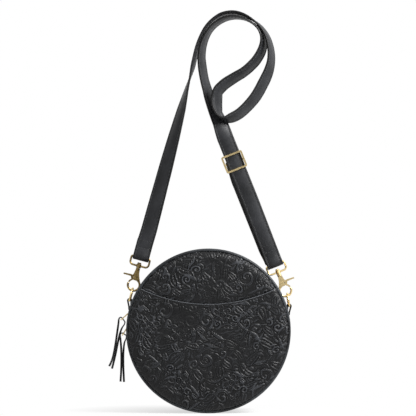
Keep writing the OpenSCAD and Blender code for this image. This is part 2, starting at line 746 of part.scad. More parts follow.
module right_hook() {
    color("#b8934a") on_right() hook();
}
module left_gate() {
    color("#c9a04e") on_left() gate();
}
module right_gate() {
    color("#c9a04e") on_right() gate();
}
module left_gate_pin() {
    color("#8a6c34") on_left() gate_pin();
}
module right_gate_pin() {
    color("#8a6c34") on_right() gate_pin();
}

// Strap: each end turns round a clasp's bar, and the front layer carries on up its leg
turn_r = eye_wire / 2 + run + strap_t / 2;
lay = strap_t / 2 + fit;
meet_s = 4 * turn_r;
function on_leg(bar, lean, y, s) = bar + s * up(lean) + [0, y, 0];
function around_bar(bar, lean, from) = [
    for (t = [0:30:180])
        on_leg(bar, lean, from * turn_r * cos(t), -turn_r * sin(t))
];
left_turn = concat(
    [on_leg(left_eye_bar, left_lean, lay, turn_l), on_leg(left_eye_bar, left_lean, lay, meet_s),
        on_leg(left_eye_bar, left_lean, turn_r, turn_r)],
    around_bar(left_eye_bar, left_lean, 1),
    [on_leg(left_eye_bar, left_lean, -turn_r, turn_r), on_leg(left_eye_bar, left_lean, -lay, meet_s)]
);
right_turn = concat(
    [on_leg(right_eye_bar, right_lean, -lay, meet_s), on_leg(right_eye_bar, right_lean, -turn_r, turn_r)],
    around_bar(right_eye_bar, right_lean, -1),
    [on_leg(right_eye_bar, right_lean, turn_r, turn_r)]
);
left_leg_l = norm(left_top - left_eye_bar);
right_leg_l = norm(right_top - right_eye_bar);
slide_s = right_leg_l * slide_share;
left_leg = [
    for (k = left_turn_shares)
        concat(on_leg(left_eye_bar, left_lean, -lay * (1 - k[0]), left_leg_l * k[0]), k[1])
];
// The right leg lies flat from its clasp to this share of its length, where the slide runs
flat_share = 0.9;
right_leg = [
    concat(on_leg(right_eye_bar, right_lean, -lay, right_leg_l * flat_share), -90),
    concat(on_leg(right_eye_bar, right_lean, -lay, right_leg_l * flat_share / 2), -90)
];
over_peg = [for (k = loops) concat(peg + xyz(k), k[3])];
course = concat(left_leg, smooth(over_peg, 2), right_leg);
function tilted(t, tilt) = [-t[2] * sin(tilt), -cos(tilt), t[0] * sin(tilt)];
course_places = [for (k = course) xyz(k)];
course_across = [
    for (i = [0:len(course) - 1])
        let (t = course_dir(course_places, i), flat = unit([t[0], 0, t[2]])) tilted(flat, course[i][3])
];
left_across = [cos(left_lean), 0, -sin(left_lean)];
right_across = -[cos(right_lean), 0, -sin(right_lean)];
strap_places = concat(left_turn, course_places, right_turn);
strap_across = concat([for (p = left_turn) left_across], course_across, [for (p = right_turn) right_across]);
strap_stations = stations(strap_places, strap_across);
module strap() {
    color("#38393b") sweep(strap_stations, strap_section(strap_w, strap_t));
}

// The slide, in its own frame on the right leg: two bars in front of the strap, one behind it
slide_y = -lay - strap_t / 2 - run - slide_bar / 2;
return_y = -lay + strap_t / 2 + run + return_t / 2;
wrap_r = slide_bar / 2 + run + return_t / 2;
slide_back_y = return_y + wrap_r;
slide_corner = slide_bar;
module rounded(w, l, r) {
    translate([-w / 2 + r, -l / 2]) square([w - 2 * r, l]);
    translate([-w / 2, -l / 2 + r]) square([w, l - 2 * r]);
    for (x = [-1, 1], y = [-1, 1])
        translate([x * (w / 2 - r), y * (l / 2 - r)]) circle(r = r, $fn = wire_fn);
}
module slide() {
    color("#cfa74f") translate(on_leg(right_eye_bar, right_lean, 0, slide_s)) rotate([0, right_lean, 0]) {
        translate([0, slide_y, 0]) flat_plate(slide_bar) difference() {
            rounded(slide_w, slide_l, slide_corner);
            rounded(slide_w - 2 * slide_bar, slide_l - 2 * slide_bar, slide_corner / 4);
        }
        for (s = [-1, 1])
            translate([s * (slide_w - slide_bar) / 2, 0, 0]) upright(slide_bar) polygon([
                [slide_y - slide_bar / 2, -slide_l / 2 + slide_corner],
                [slide_y + slide_bar / 2, -slide_l / 2 + slide_corner],
                [slide_back_y + slide_bar / 2, -slide_bar], [slide_back_y + slide_bar / 2, slide_bar],
                [slide_y + slide_bar / 2, slide_l / 2 - slide_corner],
                [slide_y - slide_bar / 2, slide_l / 2 - slide_corner]
            ]);
        translate([0, slide_back_y, 0]) rotate([0, 90, 0])
            cylinder(d = slide_bar, h = slide_w - slide_bar, center = true, $fn = wire_fn);
    }
}

// The strap's end runs back up behind its leg, turns over the slide's rear bar and is sewn down
thin_s = 4 * strap_t;
return_places = concat(
    [on_leg(right_eye_bar, right_lean, turn_r, turn_r + fit),
        on_leg(right_eye_bar, right_lean, turn_r, turn_r + strap_t / 2),
        on_leg(right_eye_bar, right_lean, lay + fit, meet_s),
        on_leg(right_eye_bar, right_lean, return_y, meet_s + thin_s),
        on_leg(right_eye_bar, right_lean, return_y, slide_s - turn_l),
        on_leg(right_eye_bar, right_lean, return_y, slide_s - wrap_r)],
    [for (t = [0:30:180])
        on_leg(right_eye_bar, right_lean, slide_back_y - wrap_r * cos(t), slide_s + wrap_r * sin(t))],
    [on_leg(right_eye_bar, right_lean, slide_back_y + wrap_r, slide_s - wrap_r),
        on_leg(right_eye_bar, right_lean, return_y + return_t + fit, slide_s - 4 * wrap_r),
        on_leg(right_eye_bar, right_lean, return_y + return_t + fit, slide_s - turn_l)]
);
function return_points(stations) = [
    for (i = [0:len(stations) - 1])
        let (s = stations[i])
        for (c = strap_section(strap_w, i < 3 ? strap_t : return_t)) s[0] + c[0] * s[1] + c[1] * s[2]
];
module strap_return() {
    color("#303133") polyhedron(
        return_points(stations(return_places, [for (p = return_places) right_across])),
        swept_faces(len(return_places), 8), convexity = 6
    );
}

// The least gap between the strap's turns over the peg, measured on points across its width
gap_skip = 12;
gap_stations = [for (i = [len(left_turn):len(strap_stations) - len(right_turn) - 1]) strap_stations[i]];
function gap_points(s) = [for (u = [-0.5, -0.25, 0, 0.25, 0.5]) s[0] + u * strap_w * s[1]];
strap_gap = min([
    for (i = [0:len(gap_stations) - gap_skip - 1]) for (j = [i + gap_skip:len(gap_stations) - 1])
        for (p = gap_points(gap_stations[i])) for (q = gap_points(gap_stations[j])) norm(p - q)
]) - strap_t;
echo(strap_gap = strap_gap, strap_length = span(strap_places, len(strap_places) - 1));
echo(
    front_lace_a = lace_length(front_lace_a_route), front_lace_b = lace_length(front_lace_b_route),
    back_lace_a = lace_length(back_lace_a_route), back_lace_b = lace_length(back_lace_b_route)
);
echo(
    left_hold = left_hold - peg, right_hold = right_hold - peg, left_bar = left_bar - peg,
    right_bar = right_bar - peg, left_origin = left_origin - peg, right_origin = right_origin - peg,
    left_eye_bar = left_eye_bar - peg, right_eye_bar = right_eye_bar - peg,
    left_lean = left_lean, right_lean = right_lean
);

in_bag() front_panel();
in_bag() front_pocket();
in_bag() back_panel();
in_bag() front_foam();
in_bag() back_foam();
in_bag() front_lining();
in_bag() back_lining();
in_bag() divider();
in_bag() front_piping();
in_bag() back_piping();
in_bag() lower_gusset();
in_bag() gusset_lining();
in_bag() front_zip_strip();
in_bag() centre_strip();
in_bag() back_zip_strip();
in_bag() front_zip_tape();
in_bag() back_zip_tape();
in_bag() front_zip_teeth();
in_bag() back_zip_teeth();
in_bag() front_zip_stops();
in_bag() back_zip_stops();
in_bag() front_slider();
in_bag() back_slider();
in_bag() front_pull();
in_bag() back_pull();
in_bag() front_lace_a();
in_bag() front_lace_b();
in_bag() back_lace_a();
in_bag() back_lace_b();
in_bag() left_tab();
in_bag() right_tab();
in_bag() left_ring();
in_bag() right_ring();
in_bag() left_eye();
in_bag() right_eye();
in_bag() left_hook();
in_bag() right_hook();
in_bag() left_gate();
in_bag() right_gate();
in_bag() left_gate_pin();
in_bag() right_gate_pin();
in_bag() strap();
in_bag() strap_return();
in_bag() slide();
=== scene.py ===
"""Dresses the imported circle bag: tooled leather, piping, strap, laces, zips and brass."""
import functools
import json
import math

import bmesh
import bpy
import numpy as np
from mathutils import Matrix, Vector


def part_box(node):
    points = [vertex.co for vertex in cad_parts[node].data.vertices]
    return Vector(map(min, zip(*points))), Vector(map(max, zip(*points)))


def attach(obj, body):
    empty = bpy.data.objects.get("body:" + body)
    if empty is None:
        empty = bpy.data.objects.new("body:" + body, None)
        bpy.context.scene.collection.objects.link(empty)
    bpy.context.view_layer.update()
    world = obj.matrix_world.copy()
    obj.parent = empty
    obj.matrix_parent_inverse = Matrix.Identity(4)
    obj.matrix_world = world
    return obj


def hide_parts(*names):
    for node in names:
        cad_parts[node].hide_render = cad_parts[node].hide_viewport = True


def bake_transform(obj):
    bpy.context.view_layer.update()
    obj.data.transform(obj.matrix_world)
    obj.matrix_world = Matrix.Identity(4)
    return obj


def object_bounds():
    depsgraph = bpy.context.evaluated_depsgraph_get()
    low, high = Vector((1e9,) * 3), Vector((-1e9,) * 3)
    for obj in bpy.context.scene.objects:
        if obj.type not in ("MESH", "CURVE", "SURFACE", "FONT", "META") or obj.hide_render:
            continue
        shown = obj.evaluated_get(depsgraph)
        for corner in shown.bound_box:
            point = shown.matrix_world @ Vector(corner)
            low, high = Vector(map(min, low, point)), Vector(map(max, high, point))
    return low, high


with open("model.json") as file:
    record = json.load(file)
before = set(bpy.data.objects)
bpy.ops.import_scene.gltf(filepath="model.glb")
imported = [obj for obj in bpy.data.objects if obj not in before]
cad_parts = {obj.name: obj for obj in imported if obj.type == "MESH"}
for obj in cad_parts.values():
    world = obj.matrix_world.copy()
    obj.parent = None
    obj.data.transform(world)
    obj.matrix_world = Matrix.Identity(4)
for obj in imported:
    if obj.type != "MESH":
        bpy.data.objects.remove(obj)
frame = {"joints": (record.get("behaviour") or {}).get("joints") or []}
CAD_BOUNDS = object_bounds()

bl_info = {
    "name": "Circle Bag Dresser",
    "version": (1, 0, 0),
    "blender": (4, 5, 0),
    "location": "3D View > Sidebar > Circle Bag",
    "description": "Makes the leather, stitching, laces and finishes of a round shoulder bag",
    "category": "Object",
}

MM = 0.001
JOINTS = {joint["name"]: joint for joint in frame["joints"]}


def fine(rough, full):
    return full


def joint_place(name):
    """A joint's place in millimetres."""
    return np.array(JOINTS[name]["pos_m"]) / MM


_low, _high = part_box("front_piping")
BAG_X = (_low.x + _high.x) / 2 / MM
BAG_Z = (_low.z + _high.z) / 2 / MM

# The bag's measures in millimetres, from its middle, as its solids have them. R is a distance
# from its axis and H one before or behind its middle
LEATHER, LAYER = 1.6, 1.75
PIPING_R, PIPING_H, PIPING_D, FLANGE = 98.0, 30.5, 4.0, 8.2
GUSSET_R, FACE_R, TOOLED_R = 97.0, 95.7, 98.0
CROWN_R, CROWN_H, CROWN_RISE = 85.95, 37.52, 2.0
# The face's rounded rim is an arc of an ellipse that starts at an angle in degrees
ROUND_W, ROUND_H, RIM_H, ROUND_START = 10.0, 5.0, 32.55, 84.0
MOUTH_Z, MOUTH_R = 221.6, 189.0
# The zip's middle and gap, and how many degrees its ends lie below the bag's middle
ZIP_H, ZIP_GAP, ZIP_DROP = 16.0, 8.0, 4.0
STRAP_W, STRAP_T, RETURN_T = 20.3, 2.4, 1.6
# How far the strap's seams stay from its edges and ends, where its return folds, and where its
# sewn ends are (x, z)
SEAM_IN, SEAM_MARGIN, FOLD_Z = 2.7, 6.0, 204.5
SEWN_ENDS = ((-79.6, 100.4), (-77.3, 109.2), (75.4, 95.6), (72.1, 104.0))
TAB_W, LACE_W, LACE_T = 14.4, 2.8, 1.5

# What the camera sees, in metres: its middle, and its width at a plane before the bag's middle
VIEW_X, VIEW_Z, VIEW_WIDTH, VIEW_PLANE = -0.0285, -0.2342, 0.5070, 0.020
# The height in metres that the lamps point at, and half the floor's width in millimetres
AIM_Z, FLOOR_HALF = -0.3, 6000

# The strap's course from the bag's middle, in mm, each place with the direction across it; a
# row without a direction keeps the one before it
STRAP_ROUTE = """
-76.97 1.3 110.27 0.966 0 -0.258; -79.92 1.3 99.26; -81.97 2.65 91.58; -82.66 2.65 89.02;
-83 2.29 87.74; -83.25 1.32 86.8; -83.34 0 86.46; -83.25 -1.32 86.8; -83 -2.29 87.74;
-82.66 -2.65 89.02; -81.97 -2.65 91.58; -79.92 -1.3 99.26;
-78.93 -1.22 102.97 0.966 -0.035 -0.258; -72.84 -1.11 122.73 0.952 -0.173 -0.254;
-63.21 -0.91 158.76 0.908 -0.341 -0.243; -53.26 -0.7 195.96 0.84 -0.493 -0.224;
-43.32 -0.49 233.16 0.696 -0.694 -0.186; -33.37 -0.29 270.35 0.464 -0.877 -0.124;
-26.75 -0.16 295.74 0.167 -0.985 -0.048; -23.07 -0.08 308.5 0.017 -1 -0.005;
-19.63 0 321.5 -0.152 -0.988 0.038; -16.93 0 333.03 -0.186 -0.982 0.044;
-13.38 0 347.74 -0.166 -0.985 0.05; -8.72 0 360.5 -0.127 -0.99 0.057;
-2.71 0 371.41 -0.113 -0.99 0.081; 5.88 0 380.86 -0.078 -0.993 0.094;
16.79 0 387.6 -0.042 -0.993 0.114; 30.04 0 389.81 0.002 -0.995 0.105;
42.42 0 387.23 0.018 -0.999 0.049; 53.71 0 381.35 -0.029 -0.999 -0.043;
64.75 0 372.27 -0.129 -0.985 -0.116; 72.35 0 360.5 -0.25 -0.961 -0.117;
76.03 0 348.23 -0.352 -0.934 -0.069; 77.26 0 338.06 -0.407 -0.914 -0.012;
76.64 -0.12 328.24 -0.464 -0.883 0.072; 74.19 -0.24 318.43 -0.531 -0.829 0.175;
70.26 -0.36 308.87 -0.573 -0.777 0.26; 66.5 -1 301.5 -0.549 -0.763 0.341;
62.66 -1.5 294.12 -0.541 -0.761 0.357; 58 -2 286.5 -0.505 -0.765 0.401;
52.16 -2.44 279.12 -0.447 -0.78 0.439; 46 -3 272.5 -0.377 -0.794 0.477;
40.44 -3.94 267.38 -0.291 -0.795 0.532; 35 -5 263.5 -0.18 -0.805 0.566;
29.31 -6.06 260.81 -0.055 -0.824 0.563; 24 -7 259.5 0.086 -0.878 0.472;
19.59 -7.62 259.69 0.165 -0.97 0.176; 16 -8 261.5 -0.019 -0.995 -0.101;
13.34 -8.09 265.47 -0.289 -0.946 -0.145; 11.5 -8 270.5 -0.487 -0.866 -0.118;
10.38 -7.81 275.69 -0.596 -0.801 -0.047; 10 -7.5 281 -0.644 -0.763 0.047;
10.25 -7.06 286.12 -0.629 -0.759 0.17; 11.64 -6.5 292.56 -0.477 -0.788 0.389;
15.93 -5.6 297.83 -0.428 -0.799 0.423; 22.07 -4.9 303.1 -0.345 -0.809 0.476;
32.86 -3.7 310.09 -0.29 -0.839 0.461; 43.16 -2.6 316.35 -0.3 -0.857 0.418;
51.99 -1.6 323.83 -0.36 -0.857 0.368; 59.84 -0.8 332.66 -0.424 -0.857 0.293;
65.97 -0.2 344.06 -0.458 -0.875 0.16; 67.69 0 355.1 -0.358 -0.934 -0.007;
65.6 0 363.93 -0.221 -0.97 -0.098; 60.21 0 372.03 -0.1 -0.99 -0.097;
50.64 0 379.26 -0.026 -0.999 -0.045; 41.44 0 382.94 0.004 -1 0.017;
30.53 0 384.05 -0.007 -0.995 0.104; 19.12 0 381.47 -0.068 -0.985 0.16;
7.59 0 374.36 -0.148 -0.974 0.169; -0.75 0.1 364.06 -0.238 -0.961 0.139;
-6.39 0.2 350.32 -0.361 -0.927 0.101; -8.35 0.6 336.95 -0.422 -0.906 0.02;
-8 0.75 328.5 -0.462 -0.886 -0.035; -7.1 1 320.5 -0.477 -0.873 -0.099;
-5.85 1.47 312.69 -0.469 -0.872 -0.142; -4.1 2 304.5 -0.477 -0.864 -0.163;
-1.57 2.56 295.81 -0.514 -0.839 -0.18; 0.9 3 287 -0.565 -0.798 -0.209;
3.96 3.19 278.47 -0.628 -0.74 -0.24; 7.4 3 270 -0.712 -0.654 -0.257;
11.56 2 260.44 -0.809 -0.506 -0.298; 14.9 1 253 -0.875 -0.369 -0.313;
20.66 -1.3 235.79 -0.929 0 -0.37; 22.18 -1.3 232; 24.98 -1.3 225; 51.71 -1.3 158.34;
77.64 -1.3 90.74; 80.58 -2.65 83.36; 81.56 -2.65 80.9; 82.05 -2.29 79.67; 82.41 -1.32 78.76;
82.54 0 78.43; 82.41 1.32 78.76; 82.05 2.29 79.67; 81.56 2.65 80.9; 80.58 2.65 83.36
"""
# The same for its turned-back end
RETURN_ROUTE = """
79.61 2.65 83.08 -0.929 0 -0.37; 79.21 2.65 84.1; 76.43 1.4 90.26; 72.04 0.95 98.85;
37.7 0.95 185.06; 32.03 0.95 204.16; 31.23 0.95 206.16; 30.83 1.24 207.16; 30.54 2.02 207.89;
30.43 3.1 208.16; 30.54 4.17 207.89; 30.83 4.96 207.16; 31.23 5.25 206.16; 31.94 5.25 204.12;
33.85 2.65 197.95; 38.44 2.65 185.35
"""
# The laces from their hole in the pull, in mm
FRONT_LACE_A = """
2 0 -2.4; 0.8 0 -0.9; 0 0 0; -0.8 0 0.9; -1.9 0 1.6; -3.5 0 0.9; -4.4 0 -1.2; -4.7 0 -4.5;
-5.4 0 -10; -6.8 -0.5 -20; -8.4 -0.9 -31; -10.8 -0.9 -44; -13.2 -0.9 -52; -16 -0.9 -58
"""
FRONT_LACE_B = """
2.06 0 -2.48; 2.75 0 -3.35; 3 0 -4.8; 2.3 0 -7.2; -0.8 0.5 -12; -3.5 0.9 -20; -5.9 0.9 -31;
-8.5 0.9 -44; -10.9 0.9 -54; -12.7 0.9 -61
"""
BACK_LACE_A = """
2.4 0 -1.5; 1 0 -0.6; 0 0 0; -1 0 0.6; -2.3 0 0.7; -3.6 0 -0.6; -3.9 0 -3.2; -3.4 0 -8;
-2.8 0.5 -16; -2.4 0.9 -28; -2.6 0.9 -44; -3.4 0.9 -59
"""
BACK_LACE_B = """
2.48 0 -1.55; 3.3 0 -2.1; 3.7 0 -3.4; 3.3 0 -6.2; 1.4 -0.9 -11; 0.4 -0.9 -18; -0.1 -0.9 -28;
0.1 -0.9 -44; 0.8 -0.9 -59.5
"""
# The tabs' middle lines from the bag's middle, in mm
LEFT_TAB = """
-96.96 13.53; -96.02 19.1; -94.96 23.82; -94.85 34.78; -94.29 35.63; -94.15 36.64; -94.44 37.61;
-95.12 38.37; -96.05 38.77; -97.07 38.74; -97.98 38.28; -98.61 37.48; -98.84 36.49; -96.7 24.26;
-97.69 19.43; -98.64 13.76
"""
RIGHT_TAB = """
97.67 6.73; 97.12 12.35; 96.39 17.14; 97.05 28.08; 96.55 28.97; 96.47 29.98; 96.84 30.93;
97.56 31.64; 98.53 31.97; 99.54 31.87; 100.41 31.35; 100.98 30.51; 101.15 29.51; 98.16 17.46;
98.8 12.57; 99.36 6.85
"""
# The gusset leather's middle line beside the piping: distance from the bag's axis, height
GUSSET_EDGE = """
92.91 23.57; 96.73 27.39; 97.09 27.61; 97.52 27.64; 97.91 27.47; 98.18 27.14; 98.26 26.72;
98.14 26.31; 96.76 24.2; 96.3 22.76; 96.2 21.48
"""


def places(table):
    """A table's rows as numbers; a short row goes on as the row before it ends."""
    rows = []
    for text in table.split(";"):
        row = [float(word) for word in text.split()]
        rows.append(row + (rows[-1][len(row):] if rows else []))
    return np.array(rows)


# ---- Small tools -------------------------------------------------------------------------


def colour(code):
    """A linear RGBA colour from an sRGB hex code."""
    parts = [int(code[i:i + 2], 16) / 255 for i in (1, 3, 5)]
    return [p / 12.92 if p <= 0.04045 else ((p + 0.055) / 1.055) ** 2.4 for p in parts] + [1]


def feed(node, sockets):
    """Gives sockets of a node their links or their values."""
    for key, value in sockets.items():
        if isinstance(value, bpy.types.NodeSocket):
            node.id_data.links.new(value, node.inputs[key])
        else:
            node.inputs[key].default_value = value


def put(tree, kind, sockets=None, **settings):
    """Adds a node to a tree with its settings and what its sockets get."""
    made = tree.nodes.new(kind)
    for key, value in settings.items():
        setattr(made, key, value)
    feed(made, sockets or {})
    return made


def new_material(name):
    """An empty material with its shader and output joined up."""
    made = bpy.data.materials.new(name)
    made.use_nodes = True
    tree = made.node_tree
    tree.nodes.clear()
    shader = put(tree, "ShaderNodeBsdfPrincipled")
    put(tree, "ShaderNodeOutputMaterial", {"Surface": shader.outputs["BSDF"]})
    return made, tree, shader


def ramp(value, stops):
    """A colour ramp through two (place, hex code) stops."""
    made = put(value.id_data, "ShaderNodeValToRGB", {"Fac": value})
    for element, (place, code) in zip(made.color_ramp.elements, stops):
        element.position = place
        element.color = colour(code)
    return made.outputs["Color"]


def spread(value, low, high, from_low=0.0, from_high=1.0):
    """Spreads a value to a range."""
    return put(value.id_data, "ShaderNodeMapRange", {
        "Value": value, "From Min": from_low, "From Max": from_high,
        "To Min": low, "To Max": high}).outputs["Result"]


def bumped(height, depth_mm, **normal):
    """A bump of a depth in millimetres."""
    return put(height.id_data, "ShaderNodeBump", {
        "Height": height, "Distance": depth_mm * MM, "Strength": 1.0, **normal}).outputs["Normal"]


def blend_colours(share, first, second):
    """A colour between two."""
    return put(share.id_data, "ShaderNodeMix", {0: share, 6: first, 7: second},
               data_type="RGBA").outputs[2]


def blend_values(share, first, second):
    """A value between two."""
    return put(share.id_data, "ShaderNodeMix", {0: share, 2: first, 3: second}).outputs[0]


def together(how, first, second):
    """Two values brought together by a math node."""
    return put(first.id_data, "ShaderNodeMath", {0: first, 1: second}, operation=how).outputs[0]


times, plus, larger = (
    functools.partial(together, how) for how in ("MULTIPLY", "ADD", "MAXIMUM"))


def object_place(tree):
    """Object coordinates."""
    return put(tree, "ShaderNodeTexCoord").outputs["Object"]


def sized(tree, size_mm):
    """Object coordinates scaled so that one unit is a size in millimetres."""
    return put(tree, "ShaderNodeMapping", {
        "Vector": object_place(tree), "Scale": [1 / (size_mm * MM)] * 3}).outputs["Vector"]


def noise(tree, size_mm, detail, roughness=0.5, scale=1.0):
    """Noise with features of a size in millimetres."""
    return put(tree, "ShaderNodeTexNoise", {
        "Vector": sized(tree, size_mm), "Scale": scale, "Detail": detail,
        "Roughness": roughness}).outputs["Fac"]


def attribute(tree, name):
    """A value that the mesh carries."""
    return put(tree, "ShaderNodeAttribute", attribute_name=name).outputs["Fac"]


# ---- Materials ---------------------------------------------------------------------------

LEATHER_GRAIN = 0.05


def leather(name, deep, mid, wear_and_highlight, rough=(0.34, 0.48), grain_mm=0.9, relief=None, edge=None):
    """Vegetable-tanned cow leather, dyed black and lightly waxed.

    The wax gives a soft broad gloss that breaks up over the grain. Where the mesh carries a
    tone, high places are painted paler, partly as wear and partly as a painted highlight, and
    low places are painted near black as painted shade. The grain is drawn a little coarser
    than the real 0.5 mm.
    """
    made, tree, shader = new_material(name)
    cells = put(tree, "ShaderNodeTexVoronoi", {"Vector": sized(tree, grain_mm), "Scale": 1.0},
                feature="F1").outputs["Distance"]
    creases = noise(tree, 4.5, 6.0, 0.62)
    clouds = noise(tree, 26.0, 4.0)
    shade = ramp(times(clouds, spread(creases, 0.75, 1.25)), [(0.25, deep), (0.7, mid)])
    if relief:
        wear_and_painted_light = attribute(tree, relief)
        # High places turn paler: partly wear, partly a painted highlight.
        shade = blend_colours(spread(wear_and_painted_light, 0.0, 1.0, 0.55, 1.0), shade, colour(wear_and_highlight))
        # Low places turn near black: painted shade in the trenches.
        shade = blend_colours(spread(wear_and_painted_light, 0.75, 0.0, 0.0, 0.4), shade, colour("#08080a"))
    if edge:
        shade = blend_colours(attribute(tree, edge), shade, colour("#0b0b0c"))
    creased = bumped(creases, LEATHER_GRAIN * 3)
    feed(shader, {
        "Base Color": shade,
        "Roughness": plus(spread(creases, *rough, 0.3, 0.7), spread(cells, -0.05, 0.06)),
        "Normal": bumped(cells, LEATHER_GRAIN, Normal=creased),
        "Specular IOR Level": 0.26, "Sheen Weight": 0.02, "Sheen Roughness": 0.5})
    return made


def suede(name, dark, light):
    """Chrome-tanned suede: short brushed fibres, so no gloss and a soft pale edge."""
    made, tree, shader = new_material(name)
    fibres = noise(tree, 1.1, 8.0, 0.75)
    feed(shader, {"Base Color": ramp(fibres, [(0.3, dark), (0.7, light)]),
                  "Normal": bumped(fibres, 0.12), "Roughness": 0.85, "Sheen Weight": 0.25})
    return made


def cloth(name, dark, light, thread_mm):
    """Woven polyester: plain weave, so a fine check of over and under threads."""
    made, tree, shader = new_material(name)
    place = sized(tree, thread_mm)
    x, z, y = (put(tree, "ShaderNodeTexWave", {
        "Vector": place, "Scale": 0.5, "Distortion": 0.6, "Detail Scale": 1.0},
        bands_direction=axis).outputs["Fac"] for axis in "XZY")
    weave = times(larger(x, z), y)
    mixed = plus(times(weave, 0.6), times(noise(tree, thread_mm, 5.0, scale=0.4), 0.4))
    feed(shader, {"Base Color": ramp(mixed, [(0.15, dark), (0.8, light)]),
                  "Normal": bumped(weave, 0.08), "Roughness": 0.8, "Sheen Weight": 0.15})
    return made


def brass(name, bright, dull, rough=(0.16, 0.34), tarnish=0.35):
    """Die-cast zinc, brass-plated and tumbled: bright on the edges, duller where it is handled."""
    made, tree, shader = new_material(name)
    spots = noise(tree, 3.2, 6.0, 0.6)
    pointed = put(tree, "ShaderNodeNewGeometry").outputs["Pointiness"]
    low_places = spread(pointed, 1.0, 0.0, 0.42, 0.5)
    dulled = times(spread(spots, 0.0, 1.0, 0.42, 0.62), tarnish)
    share = larger(dulled, times(low_places, tarnish * 1.4))
    feed(shader, {
        "Base Color": blend_colours(share, colour(bright), colour(dull)),
        "Roughness": plus(spread(spots, *rough, 0.3, 0.7), times(share, 0.15)),
        "Normal": bumped(noise(tree, 0.35, 2.0), 0.012), "Metallic": 1.0})
    return made


def thread_material(name, dark, light):
    """Bonded nylon thread: two plies twisted together, with a dull wax shine."""
    made, tree, shader = new_material(name)
    plies = noise(tree, 0.9, 3.0)
    feed(shader, {"Base Color": ramp(plies, [(0.3, dark), (0.7, light)]),
                  "Normal": bumped(plies, 0.08), "Roughness": 0.6})
    return made


def by_mirror(path):
    """Where a ray comes by a mirror or through glass."""
    return larger(path["Is Glossy Ray"], path["Is Transmission Ray"])


def floor_material(glow):
    """Seamless white paper, lit from below so that it shows as plain white.

    A share of its own shading stays, so the bag's soft contact shadow still shows on it. Far
    from the bag it is all glow, so no horizon shows.
    """
    made, tree, shader = new_material("white_paper")
    feed(shader, {"Base Color": colour("#f2f2f2"), "Roughness": 0.9, "Specular IOR Level": 0.1})
    path = put(tree, "ShaderNodeLightPath").outputs
    seen = larger(path["Is Camera Ray"], by_mirror(path))
    centred = put(tree, "ShaderNodeMapping", {
        "Vector": object_place(tree), "Location": (-BAG_X * MM, 0.0, 0.0),
        "Scale": (1.0, 1.0, 0.0)}).outputs["Vector"]
    away = put(tree, "ShaderNodeVectorMath", {0: centred}, operation="LENGTH").outputs["Value"]
    share = times(seen, spread(away, glow, 1.0, 0.03, 0.19))
    light = put(tree, "ShaderNodeEmission", {"Color": (1, 1, 1, 1), "Strength": 1.0})
    mixed = put(tree, "ShaderNodeMixShader", {
        0: share, 1: shader.outputs["BSDF"], 2: light.outputs[0]})
    feed(next(node for node in tree.nodes if node.type == "OUTPUT_MATERIAL"),
         {"Surface": mixed.outputs[0]})
    return made


def studio_world(room, studio):
    """White paper behind the object and a dimmer studio behind the camera.

    The camera sees plain white. Metal mirrors the paper on its far side, and on its near side
    the dimmer studio with its lamps, which gives brass its dark and bright bands.
    """
    world = bpy.data.worlds.new("Room")
    world.use_nodes = True
    tree = world.node_tree
    tree.nodes.clear()
    path = put(tree, "ShaderNodeLightPath").outputs
    ray = put(tree, "ShaderNodeTexCoord").outputs["Generated"]
    way = put(tree, "ShaderNodeSeparateXYZ", {0: ray}).outputs
    mirrored = larger(spread(way["Y"], studio, 1.0, -0.1, 0.25),
                      spread(way["Z"], 0.0, 1.0, 0.06, 0.5))
    lit = blend_values(by_mirror(path), room, mirrored)
    strength = blend_values(path["Is Camera Ray"], lit, 1.0)
    light = put(tree, "ShaderNodeBackground", {"Color": (1, 1, 1, 1), "Strength": strength})
    put(tree, "ShaderNodeOutputWorld", {"Surface": light.outputs[0]})
    return world


FINISHES = {}


def make_finishes(colours):
    """Makes every finish once."""
    deep, mid, wear_and_highlight = colours.leather_deep, colours.leather_mid, colours.leather_wear_and_highlight
    FINISHES.update(
        tooled=leather("tooled_black_leather", deep, mid, wear_and_highlight, relief="relief"),
        plain=leather("smooth_black_leather", deep, mid, wear_and_highlight, rough=(0.32, 0.48), edge="edge"),
        piping=leather("piping_black_leather", colours.strap_deep, colours.piping_mid, wear_and_highlight,
                       rough=(0.36, 0.5), grain_mm=0.7),
        strap=leather("strap_black_leather", colours.strap_deep, colours.strap_mid, wear_and_highlight,
                      rough=(0.4, 0.55), edge="edge"),
        # The pocket mouth's edge colour: partly a burnished cut edge, partly a painted highlight.
        edge=leather("burnished_edge_and_highlight", "#3c3e41", "#5c5e62", "#5c5e62", rough=(0.25, 0.4)),
        suede=suede("black_suede_lace", "#0c0c0d", "#242528"),
        tape=cloth("black_zip_tape", "#060607", "#1c1c1e", 0.8),
        lining=cloth("black_cotton_lining", "#14110f", "#2a2420", 0.7),
        bright=brass("bright_brass_plate", "#f8e0a8", "#b48f50", rough=(0.22, 0.34), tarnish=0.1),
        antique=brass("antique_brass_plate", "#a08a5a", "#2c2416", rough=(0.22, 0.4), tarnish=0.8),
        teeth=brass("brass_zip_teeth", "#c9a25a", "#5b4522", rough=(0.25, 0.4), tarnish=0.5),
        steel=brass("tinned_steel_pin", "#b5a88c", "#5c5340", rough=(0.3, 0.45)),
        thread=thread_material("black_nylon_thread", "#161718", "#3c3d40"),
    )


# ---- Making pieces -----------------------------------------------------------------------


def add_object(name, data, place=(0, 0, 0)):
    """An object in the scene."""
    made = bpy.data.objects.new(name, data)
    made.location = place
    bpy.context.scene.collection.objects.link(made)
    return made


